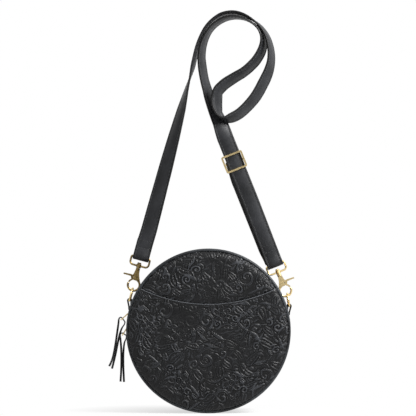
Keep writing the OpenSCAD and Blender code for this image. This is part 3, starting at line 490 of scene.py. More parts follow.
def new_piece(name, points, faces, material, smooth=True, backwards=False, attributes=None):
    """A mesh object at the origin, its points given in millimetres; backwards mirrors it."""
    points = np.asarray(points, float) * MM
    if backwards:
        points, faces = points * [1, -1, 1], [face[::-1] for face in faces]
    mesh = bpy.data.meshes.new(name)
    mesh.from_pydata(points.tolist(), [], faces)
    mesh.validate()
    mesh.polygons.foreach_set("use_smooth", [smooth] * len(mesh.polygons))
    for label, values in (attributes or {}).items():
        values = np.asarray(values, np.float32)
        kind, key = ("FLOAT", "value") if values.ndim == 1 else ("FLOAT_VECTOR", "vector")
        mesh.attributes.new(label, kind, "POINT").data.foreach_set(key, values.ravel())
    mesh.update()
    mesh.materials.append(material)
    return add_object(name, mesh)


def on_bag(r, h, a):
    """Places at distances from the bag's axis, heights before its middle and angles."""
    return np.stack([BAG_X + r * np.cos(a), -h + 0 * a, BAG_Z + r * np.sin(a)], axis=-1)


def around(middle, r, a):
    """Places at distances and angles from a place in a flat drawing."""
    return np.stack([middle[0] + r * np.cos(a), middle[1] + r * np.sin(a)], axis=-1)


def grid_faces(rows, columns, wrap_rows=False, wrap_columns=False, flip=False):
    """Quads between rows and columns of points."""
    faces = []
    for i in range(rows if wrap_rows else rows - 1):
        for j in range(columns if wrap_columns else columns - 1):
            a, b = i * columns + j, i * columns + (j + 1) % columns
            k = (i + 1) % rows
            c, d = k * columns + (j + 1) % columns, k * columns + j
            faces.append((a, b, c, d) if not flip else (d, c, b, a))
    return faces


def headings(line):
    """The unit direction of a line at each of its places."""
    run = np.gradient(line, axis=0)
    return run / (np.linalg.norm(run, axis=1)[:, None] + 1e-12)


def leftward(line):
    """The unit direction to the left of a flat line's run."""
    run = headings(line)
    return np.stack([-run[:, 1], run[:, 0]], axis=1)


def offset_line(line, width):
    """A flat line (n, 2) moved sideways, to the left of its run."""
    return line + leftward(line) * width


def runs_of(line):
    """How far along a line each of its places is."""
    steps = np.linalg.norm(np.diff(line[:, :3], axis=0), axis=1)
    return np.concatenate([[0], np.cumsum(steps)])


def resample(line, step, least=2):
    """A line's points, and what goes with them, at an even step."""
    line = np.asarray(line, float)
    runs = runs_of(line)
    at = np.linspace(0, runs[-1], max(least, int(round(runs[-1] / step)) + 1))
    return np.stack([np.interp(at, runs, column) for column in line.T], axis=1)


def ellipse(centre, a, b, a0, a1, count):
    """Points of an ellipse's arc in a flat section."""
    t = np.radians(np.linspace(a0, a1, count))
    return np.stack([centre[0] + a * np.cos(t), centre[1] + b * np.sin(t)], axis=1)


def turned_part(name, section, a0, a1, steps, material, backwards=False):
    """A closed section (r, h) carried round the bag from one angle to another."""
    section = np.asarray(section, float)
    whole = abs(a1 - a0) >= 359.99
    angles = np.radians(np.linspace(a0, a1, steps + 1)[:-1 if whole else None])
    x, y = section.T
    points = on_bag(x[None, :], y[None, :], angles[:, None])
    rows, columns = points.shape[:2]
    turn = np.sum(x * np.roll(y, -1) - np.roll(x, -1) * y) > 0
    faces = grid_faces(rows, columns, wrap_rows=whole, wrap_columns=True, flip=not turn)
    points = points.reshape(-1, 3)
    if not whole:
        first, last = (list(range(k * columns, (k + 1) * columns)) for k in (0, rows - 1))
        faces += [first[::-1], last] if turn else [first, last[::-1]]
    return new_piece(name, points, faces, material, backwards=backwards)


def stitch_nodes():
    """A node group that sets a stitch on every point of a line mesh, along the line.

    Inputs: Geometry (the points, each with a run and an up direction), Length, Thickness,
    Sink and Material. Every stitch is a short bowed thread that goes down at both its ends.
    """
    group = bpy.data.node_groups.new("Stitches", "GeometryNodeTree")
    face = group.interface
    face.new_socket("Geometry", in_out="INPUT", socket_type="NodeSocketGeometry")
    for label, default in (("Length", 2.6), ("Thickness", 0.6), ("Sink", 0.35)):
        made = face.new_socket(label, in_out="INPUT", socket_type="NodeSocketFloat")
        made.default_value = default * MM
        made.subtype = "DISTANCE"
    face.new_socket("Material", in_out="INPUT", socket_type="NodeSocketMaterial")
    face.new_socket("Geometry", in_out="OUTPUT", socket_type="NodeSocketGeometry")
    start = put(group, "NodeGroupInput").outputs

    def point(**values):
        return put(group, "ShaderNodeCombineXYZ", values).outputs[0]

    run, up = (put(group, "GeometryNodeInputNamedAttribute", {"Name": label},
                   data_type="FLOAT_VECTOR").outputs["Attribute"] for label in ("run", "up"))
    half, low = times(start["Length"], 0.5), times(start["Sink"], -1.0)
    line = put(group, "GeometryNodeCurveQuadraticBezier", {
        "Resolution": 8, "Start": point(X=times(half, -1.0), Z=low),
        "Middle": point(Z=times(start["Thickness"], 1.1)),
        "End": point(X=half, Z=low)}).outputs["Curve"]
    ring = put(group, "GeometryNodeCurvePrimitiveCircle", {
        "Resolution": 8, "Radius": times(start["Thickness"], 0.5)}, mode="RADIUS").outputs["Curve"]
    thread = put(group, "GeometryNodeCurveToMesh", {
        "Curve": line, "Profile Curve": ring, "Fill Caps": True}).outputs["Mesh"]
    turned = put(group, "FunctionNodeAxesToRotation", {"Primary Axis": up, "Secondary Axis": run},
                 primary_axis="Z", secondary_axis="X").outputs["Rotation"]
    points = put(group, "GeometryNodeMeshToPoints", {"Mesh": start["Geometry"]},
                 mode="VERTICES").outputs["Points"]
    placed = put(group, "GeometryNodeInstanceOnPoints", {
        "Points": points, "Instance": thread, "Rotation": turned}).outputs["Instances"]
    real = put(group, "GeometryNodeRealizeInstances", {"Geometry": placed}).outputs["Geometry"]
    soft = put(group, "GeometryNodeSetShadeSmooth", {"Geometry": real}).outputs[0]
    painted = put(group, "GeometryNodeSetMaterial", {
        "Geometry": soft, "Material": start["Material"]}).outputs["Geometry"]
    put(group, "NodeGroupOutput", {"Geometry": painted})
    return group


def carried(made, body):
    """Makes a piece ride on a body; where two bodies are given, it only bakes the piece's transform
    into its mesh.
    """
    if isinstance(body, str):
        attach(made, body)
    else:
        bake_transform(made)


def dressed(node):
    """Hides the solid that a made piece stands in for."""
    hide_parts(node)


def stitches(name, points, runs, ups, body, spec):
    """Sets a seam's stitches along given points; they go with the body of the seam."""
    carrier = new_piece(name + "_line", points, [], FINISHES["thread"],
                        attributes={"run": runs, "up": ups})
    group = bpy.data.node_groups.get("Stitches") or stitch_nodes()
    modifier = carrier.modifiers.new("Stitches", "NODES")
    modifier.node_group = group
    sockets = {item.name: item.identifier for item in group.interface.items_tree
               if item.item_type == "SOCKET" and item.in_out == "INPUT"}
    for label, value in (("Length", spec.stitch_length), ("Thickness", spec.thread),
                         ("Sink", spec.thread * 0.6), ("Material", FINISHES["thread"])):
        modifier[sockets[label]] = value
    bpy.context.view_layer.update()
    seen = carrier.evaluated_get(bpy.context.evaluated_depsgraph_get())
    made = add_object(name, bpy.data.meshes.new_from_object(seen))
    bpy.data.objects.remove(carrier)
    carried(made, body)
    return made


# ---- Tooling -----------------------------------------------------------------------------

# The drawing's grid: the size of a cell in millimetres and the number along a side
CELL, SIDE = 0.32, 640
# The size of each kind of motif in millimetres and how many are tried, largest first
MOTIFS = ((12.5, 7, "flower"), (11.0, 14, "curl"), (10.0, 26, "leaf"), (8.5, 30, "fan"),
          (7.5, 40, "leaf"), (6.0, 50, "curl"), (5.2, 90, "leaf"), (4.2, 150, "fan"),
          (3.0, 260, "fan"))


def bent_line(start, length, turn, bend, count):
    """A line from a place that turns evenly as it runs."""
    a = (turn + bend * np.linspace(0, 1, count))[:-1]
    steps = np.cumsum(np.stack([np.cos(a), np.sin(a)], axis=1), axis=0)
    return start + np.vstack([[0, 0], steps]) * (length / (count - 1))


class Relief:
    """A tooled drawing on a square of leather: heights in millimetres on a fine grid.

    It is drawn as a toolmaker cuts it, in tapering raised lines with a pressed trench along
    both their sides, over low swelling bodies for the leaves and petals.
    """

    def __init__(self, depth, rng):
        self.depth, self.rng = depth, rng
        self.lines, self.bodies = [], []

    def line(self, points, width, height=1.0, taper=(0.35, 0.15)):
        """A raised line, thinner and lower towards its ends."""
        points = resample(points, 0.35)
        t = np.linspace(0, 1, len(points))
        swell = np.clip(np.minimum(taper[0] + t * 5, taper[1] + (1 - t) * 3), 0, 1)
        self.lines.append(np.column_stack([points, width * (0.55 + 0.45 * swell), height * swell]))

    def body(self, points, widths, height):
        """A low rounded body under the lines of a leaf or a petal."""
        points = np.asarray(points)
        self.bodies.append(np.column_stack([points, widths, np.full(len(points), height)]))

    def leaf(self, start, length, turn, bend, width, veins):
        """A bent leaf: two edges that meet at the tip, a midrib and slanting veins."""
        rib = bent_line(start, length, turn, bend, 24)
        run, side = headings(rib), leftward(rib)
        t = np.linspace(0, 1, 24)
        swell = width * np.sin(np.pi * t ** 0.8) ** 0.85
        self.body(rib[2:-2], swell[2:-2] * 0.85, 0.42)
        for hand in (-1, 1):
            lobes = swell * (1 + 0.10 * np.sin(t * 9 + hand))
            self.line(rib + side * (lobes * hand)[:, None], 0.62)
        self.line(rib[:-3], 0.5, 0.8)
        for k in range(veins):
            at = int(3 + k * 17 / max(1, veins))
            for hand in (-1, 1):
                reach = swell[min(23, at + 3)] * 0.78
                a = math.atan2(run[at, 1], run[at, 0]) + hand * 0.75
                self.line(bent_line(rib[at], reach, a, -hand * 0.5, 6), 0.42, 0.62)

    def feather(self, start, length, turn, bend, count, gap):
        """A fan of curved strokes, side by side, each shorter than the one before."""
        run, side = around((0, 0), 1, turn + np.array([0, math.pi / 2]))
        for k in range(count):
            place = start + side * gap * k * np.sign(bend) + 0.12 * k * run * length
            self.line(bent_line(place, length * (1 - 0.09 * k), turn + 0.05 * k, bend, 16),
                      0.6, 0.95, (0.2, 0.3))

    def curl(self, middle, size, turn, hand, turns):
        """A double line that curls in to a bud."""
        t = np.linspace(0, 1, 70)
        for lane, share in ((0.0, 1.0), (0.17, 0.93)):
            a = turn + hand * t * turns * share * 2 * np.pi
            r = size * ((1 - t) ** 0.9 * (0.86 - lane) + 0.14)
            self.line(around(middle, r, a), 0.62, 1.0, (0.4, 0.9))
        self.body([middle], [size * 0.17], 0.95)

    def flower(self, middle, size, turn, petals):
        """A rosette of outlined petals with drawn veins, round a ringed and seeded heart."""
        for k in range(petals):
            a = turn + k * 2 * math.pi / petals
            u = np.linspace(-1, 1, 26)
            r = size * (0.36 + 0.62 * (1 - np.abs(u) ** 2.6) - 0.07 * np.exp(-(u / 0.12) ** 2))
            self.body([around(middle, size * 0.58, a)], [size * 0.3], 0.4)
            self.line(around(middle, r, a + u * math.pi / petals * 0.92), 0.62, 1.0, (0.6, 0.6))
            for v in (-0.45, 0.0, 0.45):
                reach = np.linspace(0.42, 0.78 - 0.12 * abs(v), 7) * size
                self.line(around(middle, reach, a + v * math.pi / petals), 0.42, 0.55)
        ring = np.linspace(0, 2 * np.pi, 40)
        for r, h in ((0.33, 1.0), (0.17, 0.8)):
            self.line(around(middle, size * r, ring), 0.55, h, (1.0, 1.0))
        self.body([middle], [size * 0.1], 0.9)

    def pressed(self):
        """Presses all that was drawn into the grid of heights."""
        lines = np.vstack(self.lines)
        body = stamp(np.vstack(self.bodies),
                     lambda d, w, h: h * np.clip(1 - (d / w) ** 2, 0, 1) ** 0.7)
        ridge = stamp(lines, lambda d, w, h: h * np.exp(-(d / w) ** 2 * 1.1))
        trench = stamp(lines, lambda d, w, h: h * np.exp(-((d - 1.9 * w) / (0.9 * w)) ** 2))
        cover = np.clip(ridge * 1.6, 0, 1)
        taken = np.clip(1.5 * ridge + 1.2 * trench + 1.6 * body, 0, 1)
        hills = smooth_noise(self.rng, 15.0) + 0.3 * smooth_noise(self.rng, 6.5)
        steep = np.hypot(*np.gradient(hills, CELL))
        drift = (0.5 + 0.5 * np.cos(2 * np.pi * 6.2 * hills)) ** 2.2
        drift *= (1 - taken) * np.clip((0.11 - steep) / 0.04, 0, 1) * np.clip(steep / 0.02, 0, 1)
        lumps = smooth_noise(self.rng, 2.6)
        # A slow random field that lowers the tooling in places and scales the ridges' paler tone,
        # which is partly a painted highlight.
        wear_and_highlight = np.clip(0.95 + 0.55 * smooth_noise(self.rng, 20.0), 0.45, 1.25)
        cut = trench * (1 - cover)
        raised = (body * 0.5 - 0.4 * cut + ridge * 0.85 + drift * 0.62) * wear_and_highlight
        # Tone: ridges, drift lines and bodies paler, partly as wear and partly as a painted
        # highlight; the cut trenches darker as painted shade.
        tone = 0.42 + (0.55 * ridge + 0.4 * drift) * wear_and_highlight + 0.12 * body - 0.45 * cut
        tone += 0.10 * smooth_noise(self.rng, 12.0)
        side = (np.arange(SIDE) - SIDE / 2) * CELL
        x, y = np.meshgrid(side, side)
        x, y = x + 2.2 * smooth_noise(self.rng, 9.0), y + 2.2 * smooth_noise(self.rng, 9.0)
        self.height = self.depth * np.clip(self.at(x, y, raised) + 0.12 * lumps + 0.30, 0, 1.3)
        self.tone = np.clip(self.at(x, y, tone), 0, 1)

    @staticmethod
    def at(x, y, grid):
        """A grid's values at places in millimetres."""
        u, v = (np.clip(value / CELL + SIDE / 2, 0, SIDE - 1.001) for value in (x, y))
        j, i = u.astype(int), v.astype(int)
        fu, fv = u - j, v - i
        return (grid[i, j] * (1 - fu) * (1 - fv) + grid[i, j + 1] * fu * (1 - fv)
                + grid[i + 1, j] * (1 - fu) * fv + grid[i + 1, j + 1] * fu * fv)


def smooth_noise(rng, hill_mm):
    """A soft random field on the drawing's grid, its hills a given distance apart."""
    at = np.arange(SIDE) * CELL / hill_mm + 1
    k = at.astype(int)
    f = at - k
    seeds = rng.normal(size=(k[-1] + 4, k[-1] + 4))
    shares = ((1 - f) ** 3 / 6, (3 * f ** 3 - 6 * f ** 2 + 4) / 6,
              (-3 * f ** 3 + 3 * f ** 2 + 3 * f + 1) / 6, f ** 3 / 6)
    rows = sum(share[:, None] * seeds[k - 1 + j] for j, share in enumerate(shares))
    return sum(share[None, :] * rows[:, k - 1 + j] for j, share in enumerate(shares))


def stamp(marks, shape):
    """A grid raised to the shape of each mark (x, y, width, height)."""
    widest = marks[:, 2].max()
    reach = math.ceil(widest * 3 / CELL) if widest < 1.2 else math.ceil(widest / CELL) + 1
    u, v = marks[:, 0] / CELL + SIDE / 2, marks[:, 1] / CELL + SIDE / 2
    j0, i0 = np.round(u).astype(int), np.round(v).astype(int)
    flat = np.zeros(SIDE * SIDE)
    for di in range(-reach, reach + 1):
        for dj in range(-reach, reach + 1):
            i, j = i0 + di, j0 + dj
            value = shape(np.hypot((j - u) * CELL, (i - v) * CELL), marks[:, 2], marks[:, 3])
            good = (i >= 0) & (i < SIDE) & (j >= 0) & (j < SIDE) & (value > 0.004)
            np.maximum.at(flat, (i * SIDE + j)[good], value[good])
    return flat.reshape(SIDE, SIDE)


def tooled_ground(seed, spec):
    """A drawing of flowers, curls, leaves and fans that fills a disc in its own free layout."""
    rng = np.random.default_rng(seed)
    relief = Relief(spec.tool_depth / MM, rng)
    scale = spec.motif_pitch / MM / 27.0
    taken = []

    def room(size):
        """A free place for a motif, or None after 80 tries."""
        for _ in range(80):
            x, y = around((0, 0), 97 * math.sqrt(rng.uniform()), rng.uniform(0, 2 * math.pi))
            if all(math.hypot(x - p, y - q) > 0.76 * (size + s) for p, q, s in taken):
                taken.append((x, y, size))
                return np.array([x, y])
        return None

    for size, number, kind in MOTIFS:
        size *= scale
        for _ in range(number):
            spot = room(size)
            if spot is None:
                continue
            turn, hand = rng.uniform(0, 2 * math.pi), 1 if rng.uniform() < 0.5 else -1
            if kind == "flower":
                relief.flower(spot, size * rng.uniform(0.92, 1.05), turn, int(rng.integers(5, 7)))
            elif kind == "curl":
                relief.curl(spot, size, turn, hand, rng.uniform(1.1, 1.5))
                relief.line(bent_line(around(spot, size, turn), size * 1.5,
                                      turn - hand * math.pi / 2, hand * 0.9, 20), 0.62)
            elif kind == "leaf":
                relief.leaf(around(spot, -size, turn), size * 2.15, turn - hand * 0.45,
                            hand * 0.9, size * 0.40, 3 + int(size > 7))
            else:
                relief.feather(around(spot, -size * 0.8, turn), size * 2.0, turn,
                               hand * rng.uniform(0.9, 1.6), 3 + int(size > 5) * 2, 1.9 * scale)
    relief.pressed()
    return relief


# ---- Faces -------------------------------------------------------------------------------


def face_profile(inset=0.0):
    """The face's section (r, h) from its middle to the seam, resampled evenly."""
    crown_r = np.linspace(0, CROWN_R, 60)
    crown = np.stack([crown_r, CROWN_H + CROWN_RISE * (1 - (crown_r / CROWN_R) ** 2)], axis=1)
    turn = ellipse([CROWN_R, RIM_H], ROUND_W, ROUND_H, ROUND_START, 12, 24)
    seam = np.array([[95.5, 32.6], [95.25, 31.6], [95.2, 30.6], [95.2, 29.8]])
    line = np.vstack([crown, turn, seam])
    if inset:
        line = offset_line(line, -inset)
        line[:, 0] = np.clip(line[:, 0], 0, FACE_R)
        line[0, 0] = 0
        line[-3:, 0] = np.minimum(line[-3:, 0], 95.1)
        line = line[np.concatenate([[True], np.diff(line[:, 0]) > -1.5])]
    return resample(line, 0.4)


def disc_grid(count):
    """A square grid carried on to the unit disc without a pole."""
    u = np.linspace(-1, 1, count)
    x, y = np.meshgrid(u, u)
    big, small = np.maximum(np.abs(x), np.abs(y)), np.minimum(np.abs(x), np.abs(y))
    a = np.where(big > 0, small / np.maximum(big, 1e-9), 0) * np.pi / 4
    a = np.where(np.abs(x) >= np.abs(y), a, np.pi / 2 - a)
    a = np.where(x < 0, np.pi - a, a)
    a = np.where(y < 0, -a, a)
    return big * np.cos(a), big * np.sin(a)


def boundary(count):
    """The indices round a square grid, in order."""
    last = count - 1
    return [*range(count), *range(count + last, count * count, count),
            *range(count * count - 2, last * count - 1, -1), *range((last - 1) * count, 0, -count)]


def mouth_line(x):
    """The height of the pocket's mouth at places across the bag."""
    return MOUTH_Z - np.sqrt(MOUTH_R ** 2 - x ** 2)


def mouth_share(x, y, reach):
    """Carries a disc's places below the pocket's mouth, in millimetres."""
    c = np.sqrt(np.maximum(reach ** 2 - x ** 2, 0))
    share = np.where(c > 1e-6, (y + c) / np.maximum(2 * c, 1e-6), 0)
    return -c + share * (np.minimum(c, mouth_line(x)) + c)


def face_places(profile, s, a, lift):
    """Places on a face at a run from its middle, an angle round it and a height over it."""
    runs = runs_of(profile)
    r, h, out_r, out_h = (np.interp(s, runs, column)
                          for column in (*profile.T, *leftward(profile).T))
    return on_bag(r + out_r * lift, h + out_h * lift, a)


def mouth_edge():
    """The cut edge along the pocket's mouth, coloured paler than the leather: partly a burnished
    edge, partly a painted highlight.
    """
    profile = face_profile()
    x = np.linspace(-86.5, 86.5, 240)
    y = mouth_line(x) - 0.35
    s, a = np.hypot(x, y), np.arctan2(y, x)
    line = face_places(profile, s, a, LEATHER / 2 + 0.15)
    out = face_places(profile, s, a, LEATHER / 2 + 1.15) - line
    section = ellipse([0, 0], 0.62, 0.5, 0, 330, 12)
    made = swept("pocket_mouth_edge", line, out, section, FINISHES["edge"], "bag")
    return made


def face_mesh(name, relief, inset, backwards, pocket, count):
    """A closed leather face: a tooled outside, its turned rim and a plain underside."""
    profile = face_profile(inset)
    whole = runs_of(profile)[-1]
    x, y = disc_grid(count)
    x, y = x * whole, y * whole
    if pocket:
        y = mouth_share(x, y, whole)
    s, a = np.hypot(x, y), np.arctan2(y, x)
    down = mouth_line(x) - y
    fade = np.clip((TOOLED_R - s) / 1.5, 0, 1)
    if pocket:
        fade = fade * np.clip((down - 1.4) / 1.5, 0, 1)
    lift = LEATHER / 2 + (relief.at(x, y, relief.height) - 0.3 * relief.depth) * fade
    if inset:
        lift += (inset - 0.2) * np.clip(-down / (7 - 5.5 * np.clip((s - 78) / 10, 0, 1)), 0, 1)
    lift = np.where(s > 90, np.maximum(lift, LEATHER / 2 - 0.35 * relief.depth), lift)
    shade = relief.at(x, y, relief.tone) * fade + (1 - fade) * 0.5
    if pocket:
        lift += 0.7 * np.exp(-down / 2.5) - 0.45 * np.exp(-(down / 0.45) ** 2)
        # The tone is raised to its palest along the pocket's mouth: partly the burnished cut edge,
        # partly a painted highlight where the edge faces up to the light.
        shade = np.maximum(shade, np.exp(-(down / 0.9) ** 2))
    points = face_places(profile, s, a, lift).reshape(-1, 3)
    faces = grid_faces(count, count)
    rim = boundary(count)
    start, m = len(points), len(rim)
    centre = np.array([0.0, -30.0 if pocket else 0.0])
    outline = np.stack([x.ravel()[rim], y.ravel()[rim]], axis=1)
    shares = (1.0, 0.97, 0.9, 0.75, 0.5, 0.25)
    rings = [centre + (outline - centre) * share for share in shares] + [centre[None]]
    under = [face_places(profile, np.hypot(*ring.T), np.arctan2(ring[:, 1], ring[:, 0]),
                         -LEATHER / 2) for ring in rings]
    points = np.vstack([points] + under)
    last = start + (len(shares) - 1) * m
    for k in range(m):
        n = (k + 1) % m
        faces.append((rim[n], rim[k], start + k, start + n))
        faces += [(p + n, p + k, p + m + k, p + m + n) for p in range(start, last, m)]
        faces.append((last + n, last + k, len(points) - 1))
    shade = np.concatenate([np.clip(shade, 0, 1).ravel(), np.full(len(points) - start, 0.5)])
    return new_piece(name, points, faces, FINISHES["tooled"], backwards=backwards,
                     attributes={"relief": shade})


def rim_places(step, angle0, angle1, r, h):
    """Even places along a ring of the bag, with their runs and outward directions."""
    count = max(2, int(abs(math.radians(angle1 - angle0)) * r / step))
    a = np.radians(np.linspace(angle0, angle1, count))
    runs = np.stack([-np.sin(a), 0 * a, np.cos(a)], axis=1)
    outs = np.stack([np.cos(a), 0 * a, np.sin(a)], axis=1)
    return on_bag(r, h, a), runs, outs


# ---- Straps and laces --------------------------------------------------------------------


def eased(points):
    """Adds points to long gaps and beside short ones, so a curve through them can't overshoot."""
    gaps = np.linalg.norm(np.diff(points[:, :3], axis=0), axis=1)
    out = [points[0]]
    for i, gap in enumerate(gaps):
        count = math.ceil(gap / 9.0) if gap > 25.0 else 1
        shares = {k / count for k in range(1, count)}
        if i + 1 < len(gaps) and gap > 4 * gaps[i + 1]:
            shares.add(1 - 2 * gaps[i + 1] / gap)
        if i and gap > 4 * gaps[i - 1]:
            shares.add(2 * gaps[i - 1] / gap)
        out += [points[i] + (points[i + 1] - points[i]) * share for share in sorted(shares)]
        out.append(points[i + 1])
    return np.array(out)


def smooth_line(points, step):
    """A curve through points (Catmull-Rom), at an even step."""
    points = eased(np.asarray(points, float))
    first, last = 2 * points[0] - points[1], 2 * points[-1] - points[-2]
    p = np.vstack([[first], points, [last]])
    out = []
    for a, b, c, d in zip(p, p[1:], p[2:], p[3:]):
        for u in np.linspace(0, 1, 8, endpoint=False):
            out.append(b + u * ((c - a) / 2 + u * (
                (2 * a - 5 * b + 4 * c - d) / 2 + u * (3 * b - 3 * c + d - a) / 2)))
    out = np.array(out + [p[-2]])
    gaps = np.linalg.norm(np.diff(out[:, :3], axis=0), axis=1)
    return resample(out[np.concatenate([[True], gaps > 1e-4])], step, 4)


def course_frames(line, across):
    """The runs, sides and faces along a line, square to each other."""
    run = headings(line)
    side = across - np.sum(across * run, axis=1)[:, None] * run
    side /= np.linalg.norm(side, axis=1)[:, None]
    return run, side, np.cross(side, run)


def band_section(width, thick, round_r, groove_in=0.0, groove=0.0, crown=0.0):
    """A strap's section, with a creased stitching line near both edges of both faces."""
    half, top = width / 2, thick / 2
    face = [(-half + round_r, top)]
    if groove:
        for u in (-half + groove_in, half - groove_in):
            face += [(u - 0.55, top + crown * 0.4), (u, top - groove),
                     (u + 0.55, top + crown * 0.5)]
        face.insert(4, (0.0, top + crown))
    face.append((half - round_r, top))
    upper = np.vstack([face, ellipse([half - round_r, top - round_r], round_r, round_r, 75, 0, 4)])
    return np.vstack([upper, -upper])[::-1]


def swept(name, line, across, section, material, body):
    """A section (across, up) swept along a line, closed at its ends."""
    _, side, up = course_frames(line, across)
    points = (line[:, None, :] + section[None, :, :1] * side[:, None, :]
              + section[None, :, 1:] * up[:, None, :])
    rows, columns = points.shape[:2]
    faces = grid_faces(rows, columns, wrap_columns=True)
    faces += [tuple(range(columns))[::-1], tuple((rows - 1) * columns + j for j in range(columns))]
    reach = np.abs(section[:, 0])
    edge = np.clip((reach - (reach.max() - 3.2)) / 2.3, 0, 1) ** 1.5
    made = new_piece(name, points.reshape(-1, 3), faces, material,
                     attributes={"edge": np.tile(edge, rows)})
    tidy_normals(made)
    carried(made, body)
    return made


def tidy_normals(made):
    """Turns a closed mesh's faces outwards."""
    work = bmesh.new()
    work.from_mesh(made.data)
    bmesh.ops.recalc_face_normals(work, faces=work.faces)
    work.to_mesh(made.data)
    work.free()


def seam_rows(line, across, half, lift, pitch):
    """Stitch places on both edges and both faces of a strap."""
    runs = runs_of(line)
    at = np.arange(SEAM_MARGIN, runs[-1] - SEAM_MARGIN, pitch)
    place, run, side, up = (
        np.stack([np.interp(at, runs, column) for column in values.T], axis=1)
        for values in (line, *course_frames(line, across)))
    rows = [(u, v) for u in (-half, half) for v in (-1, 1)]
    return (np.vstack([place + side * u + up * (v * lift) for u, v in rows]),
            np.vstack([run] * 4), np.vstack([up * v for _, v in rows]))


def cross_seams(line, across, half, lift, pitch):
    """Stitches across the front of the strap where each of its ends is folded and sewn."""
    _, side, up = course_frames(line, across)
    seam = []
    for x, z in SEWN_ENDS:
        away = np.hypot(line[:, 0] - BAG_X - x, line[:, 2] - BAG_Z - z)
        k = int(np.argmin(np.where(line[:, 1] < 0, away, 1e9)))
        face = up[k] * -np.sign(up[k, 1])
        seam += [(line[k] + side[k] * u + face * lift, side[k], face)
                 for u in np.arange(-half, half + 0.1, pitch)]
    return [np.array(part) for part in zip(*seam)]


# ---- Sizes and colours that a user would change ------------------------------------------


def hex_property(name, code, words):
    """A hex colour that a user may change."""
    return bpy.props.StringProperty(name=name, default=code, description=words)


def number_property(name, usual, words, **limits):
    """A number that a user may change."""
    return bpy.props.FloatProperty(name=name, default=usual, description=words, **limits)


def length_property(name, usual, least, most, words):
    """A length in metres that a user may change."""
    return number_property(name, usual, words, min=least, max=most, unit="LENGTH",
                           subtype="DISTANCE")


class CIRCLEBAG_PG_colours(bpy.types.PropertyGroup):
    """The dyes of the leathers."""
    leather_deep: hex_property("Leather, dark", "#060607", "Darkest tone of the dyed leather")
    leather_mid: hex_property("Leather", "#0e0f11", "Usual tone of the dyed leather")
    # The ridges' paler colour is partly wear and partly a painted highlight.
    leather_wear_and_highlight: hex_property("Leather, rubbed", "#35373b", "Tone of rubbed ridges")
    piping_mid: hex_property("Piping", "#3a3d40", "Tone of the piping")
    strap_deep: hex_property("Strap, dark", "#131416", "Darkest tone of the strap")
    strap_mid: hex_property("Strap", "#2a2b2e", "Usual tone of the strap")


class CIRCLEBAG_PG_seams(bpy.types.PropertyGroup):
    """The sewing."""
    stitch_length: length_property("Stitch length", 0.0030, 0.001, 0.008,
                                   "Length of thread that shows in one stitch")
    stitch_pitch: length_property("Stitch pitch", 0.0041, 0.002, 0.01,
                                  "Distance from one stitch to the next")
    thread: length_property("Thread", 0.0006, 0.0003, 0.0012, "Thickness of the sewing thread")


class CIRCLEBAG_PG_tooling(bpy.types.PropertyGroup):
    """The drawing pressed into the leather faces."""
    motif_pitch: length_property("Motif pitch", 0.027, 0.015, 0.05,
                                 "Distance from one flower or scroll to the next")
    tool_depth: length_property("Depth", 0.0013, 0.0003, 0.0016,
                                "How far the ground is pressed below the flowers")
    fine: bpy.props.IntProperty(name="Grid", default=300, min=60, max=300,
                                description="Places along one side of a face's mesh")


class CIRCLEBAG_PG_stage(bpy.types.PropertyGroup):
    """The camera, floor and lamps."""
    away: length_property("Camera distance", 3.2, 1.0, 8.0, "From the bag's middle to the camera")
    camera_height: length_property("Camera height", -0.30, -1.0, 1.0,
                                   "Height of the camera over the peg")
    key: number_property("Key lamp", 48.0, "Power of the upper right lamp in watts", min=0.0)
    fill: number_property("Fill lamp", 2.5, "Power of the upper left lamp in watts", min=0.0)
    front: number_property("Front lamp", 3.0, "Power of the lamp over the camera in watts",
                           min=0.0)
    floor_glow: number_property("Floor glow", 0.64, "Share of the floor that is plain white",
                                min=0.0, max=1.0)
    room: number_property("Room light", 0.10, "Strength of the light from all around",
                          min=0.0, max=2.0)
    studio: number_property("Studio", 0.12, "Brightness of the studio that metal mirrors",
                            min=0.0, max=1.0)


# ---- Operators ---------------------------------------------------------------------------

METAL_NODES = {
    "bright": ("slide", "left_ring", "right_ring", "right_eye", "right_hook", "right_gate",
               "front_pull", "back_pull", "front_slider", "back_slider"),
    "antique": ("left_eye", "left_hook", "left_gate"),
    "teeth": ("front_zip_teeth", "back_zip_teeth", "front_zip_stops", "back_zip_stops"),
    "steel": ("left_gate_pin", "right_gate_pin"),
    "tape": ("front_zip_tape", "back_zip_tape"),
    "lining": ("front_foam", "back_foam", "front_lining", "back_lining", "gusset_lining",
               "divider"),
}


class CIRCLEBAG_OT_finishes(bpy.types.Operator):
    """Makes the finishes, and gives the metal, zips and linings theirs"""
    bl_idname = "circlebag.finishes"
    bl_label = "Finishes"

    def execute(self, context):
        make_finishes(context.scene.circlebag_colours)
        for finish, nodes in METAL_NODES.items():
            for name in nodes:
                piece = bpy.data.objects.get(name)
                if piece is None:
                    raise RuntimeError("no piece named " + name)
                piece.data.materials.clear()
                piece.data.materials.append(FINISHES[finish])
        return {"FINISHED"}


class CIRCLEBAG_OT_faces(bpy.types.Operator):
    """Makes the two tooled leather faces and the tooled front pocket"""
    bl_idname = "circlebag.faces"
    bl_label = "Tooled faces"

    def execute(self, context):
        spec = context.scene.circlebag_tooling
        count = fine(90, spec.fine)
        front, outer, back = (tooled_ground(seed, spec) for seed in (7, 11, 23))
        for node, relief, inset, backwards, pocket in (
                ("front_panel", front, LAYER, False, False),
                ("front_pocket", outer, 0.0, False, True),
                ("back_panel", back, 0.0, True, False)):
            face = face_mesh(node + "_leather", relief, inset, backwards, pocket, count)
            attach(face, "bag")
            dressed(node)
        mouth_edge()
        return {"FINISHED"}


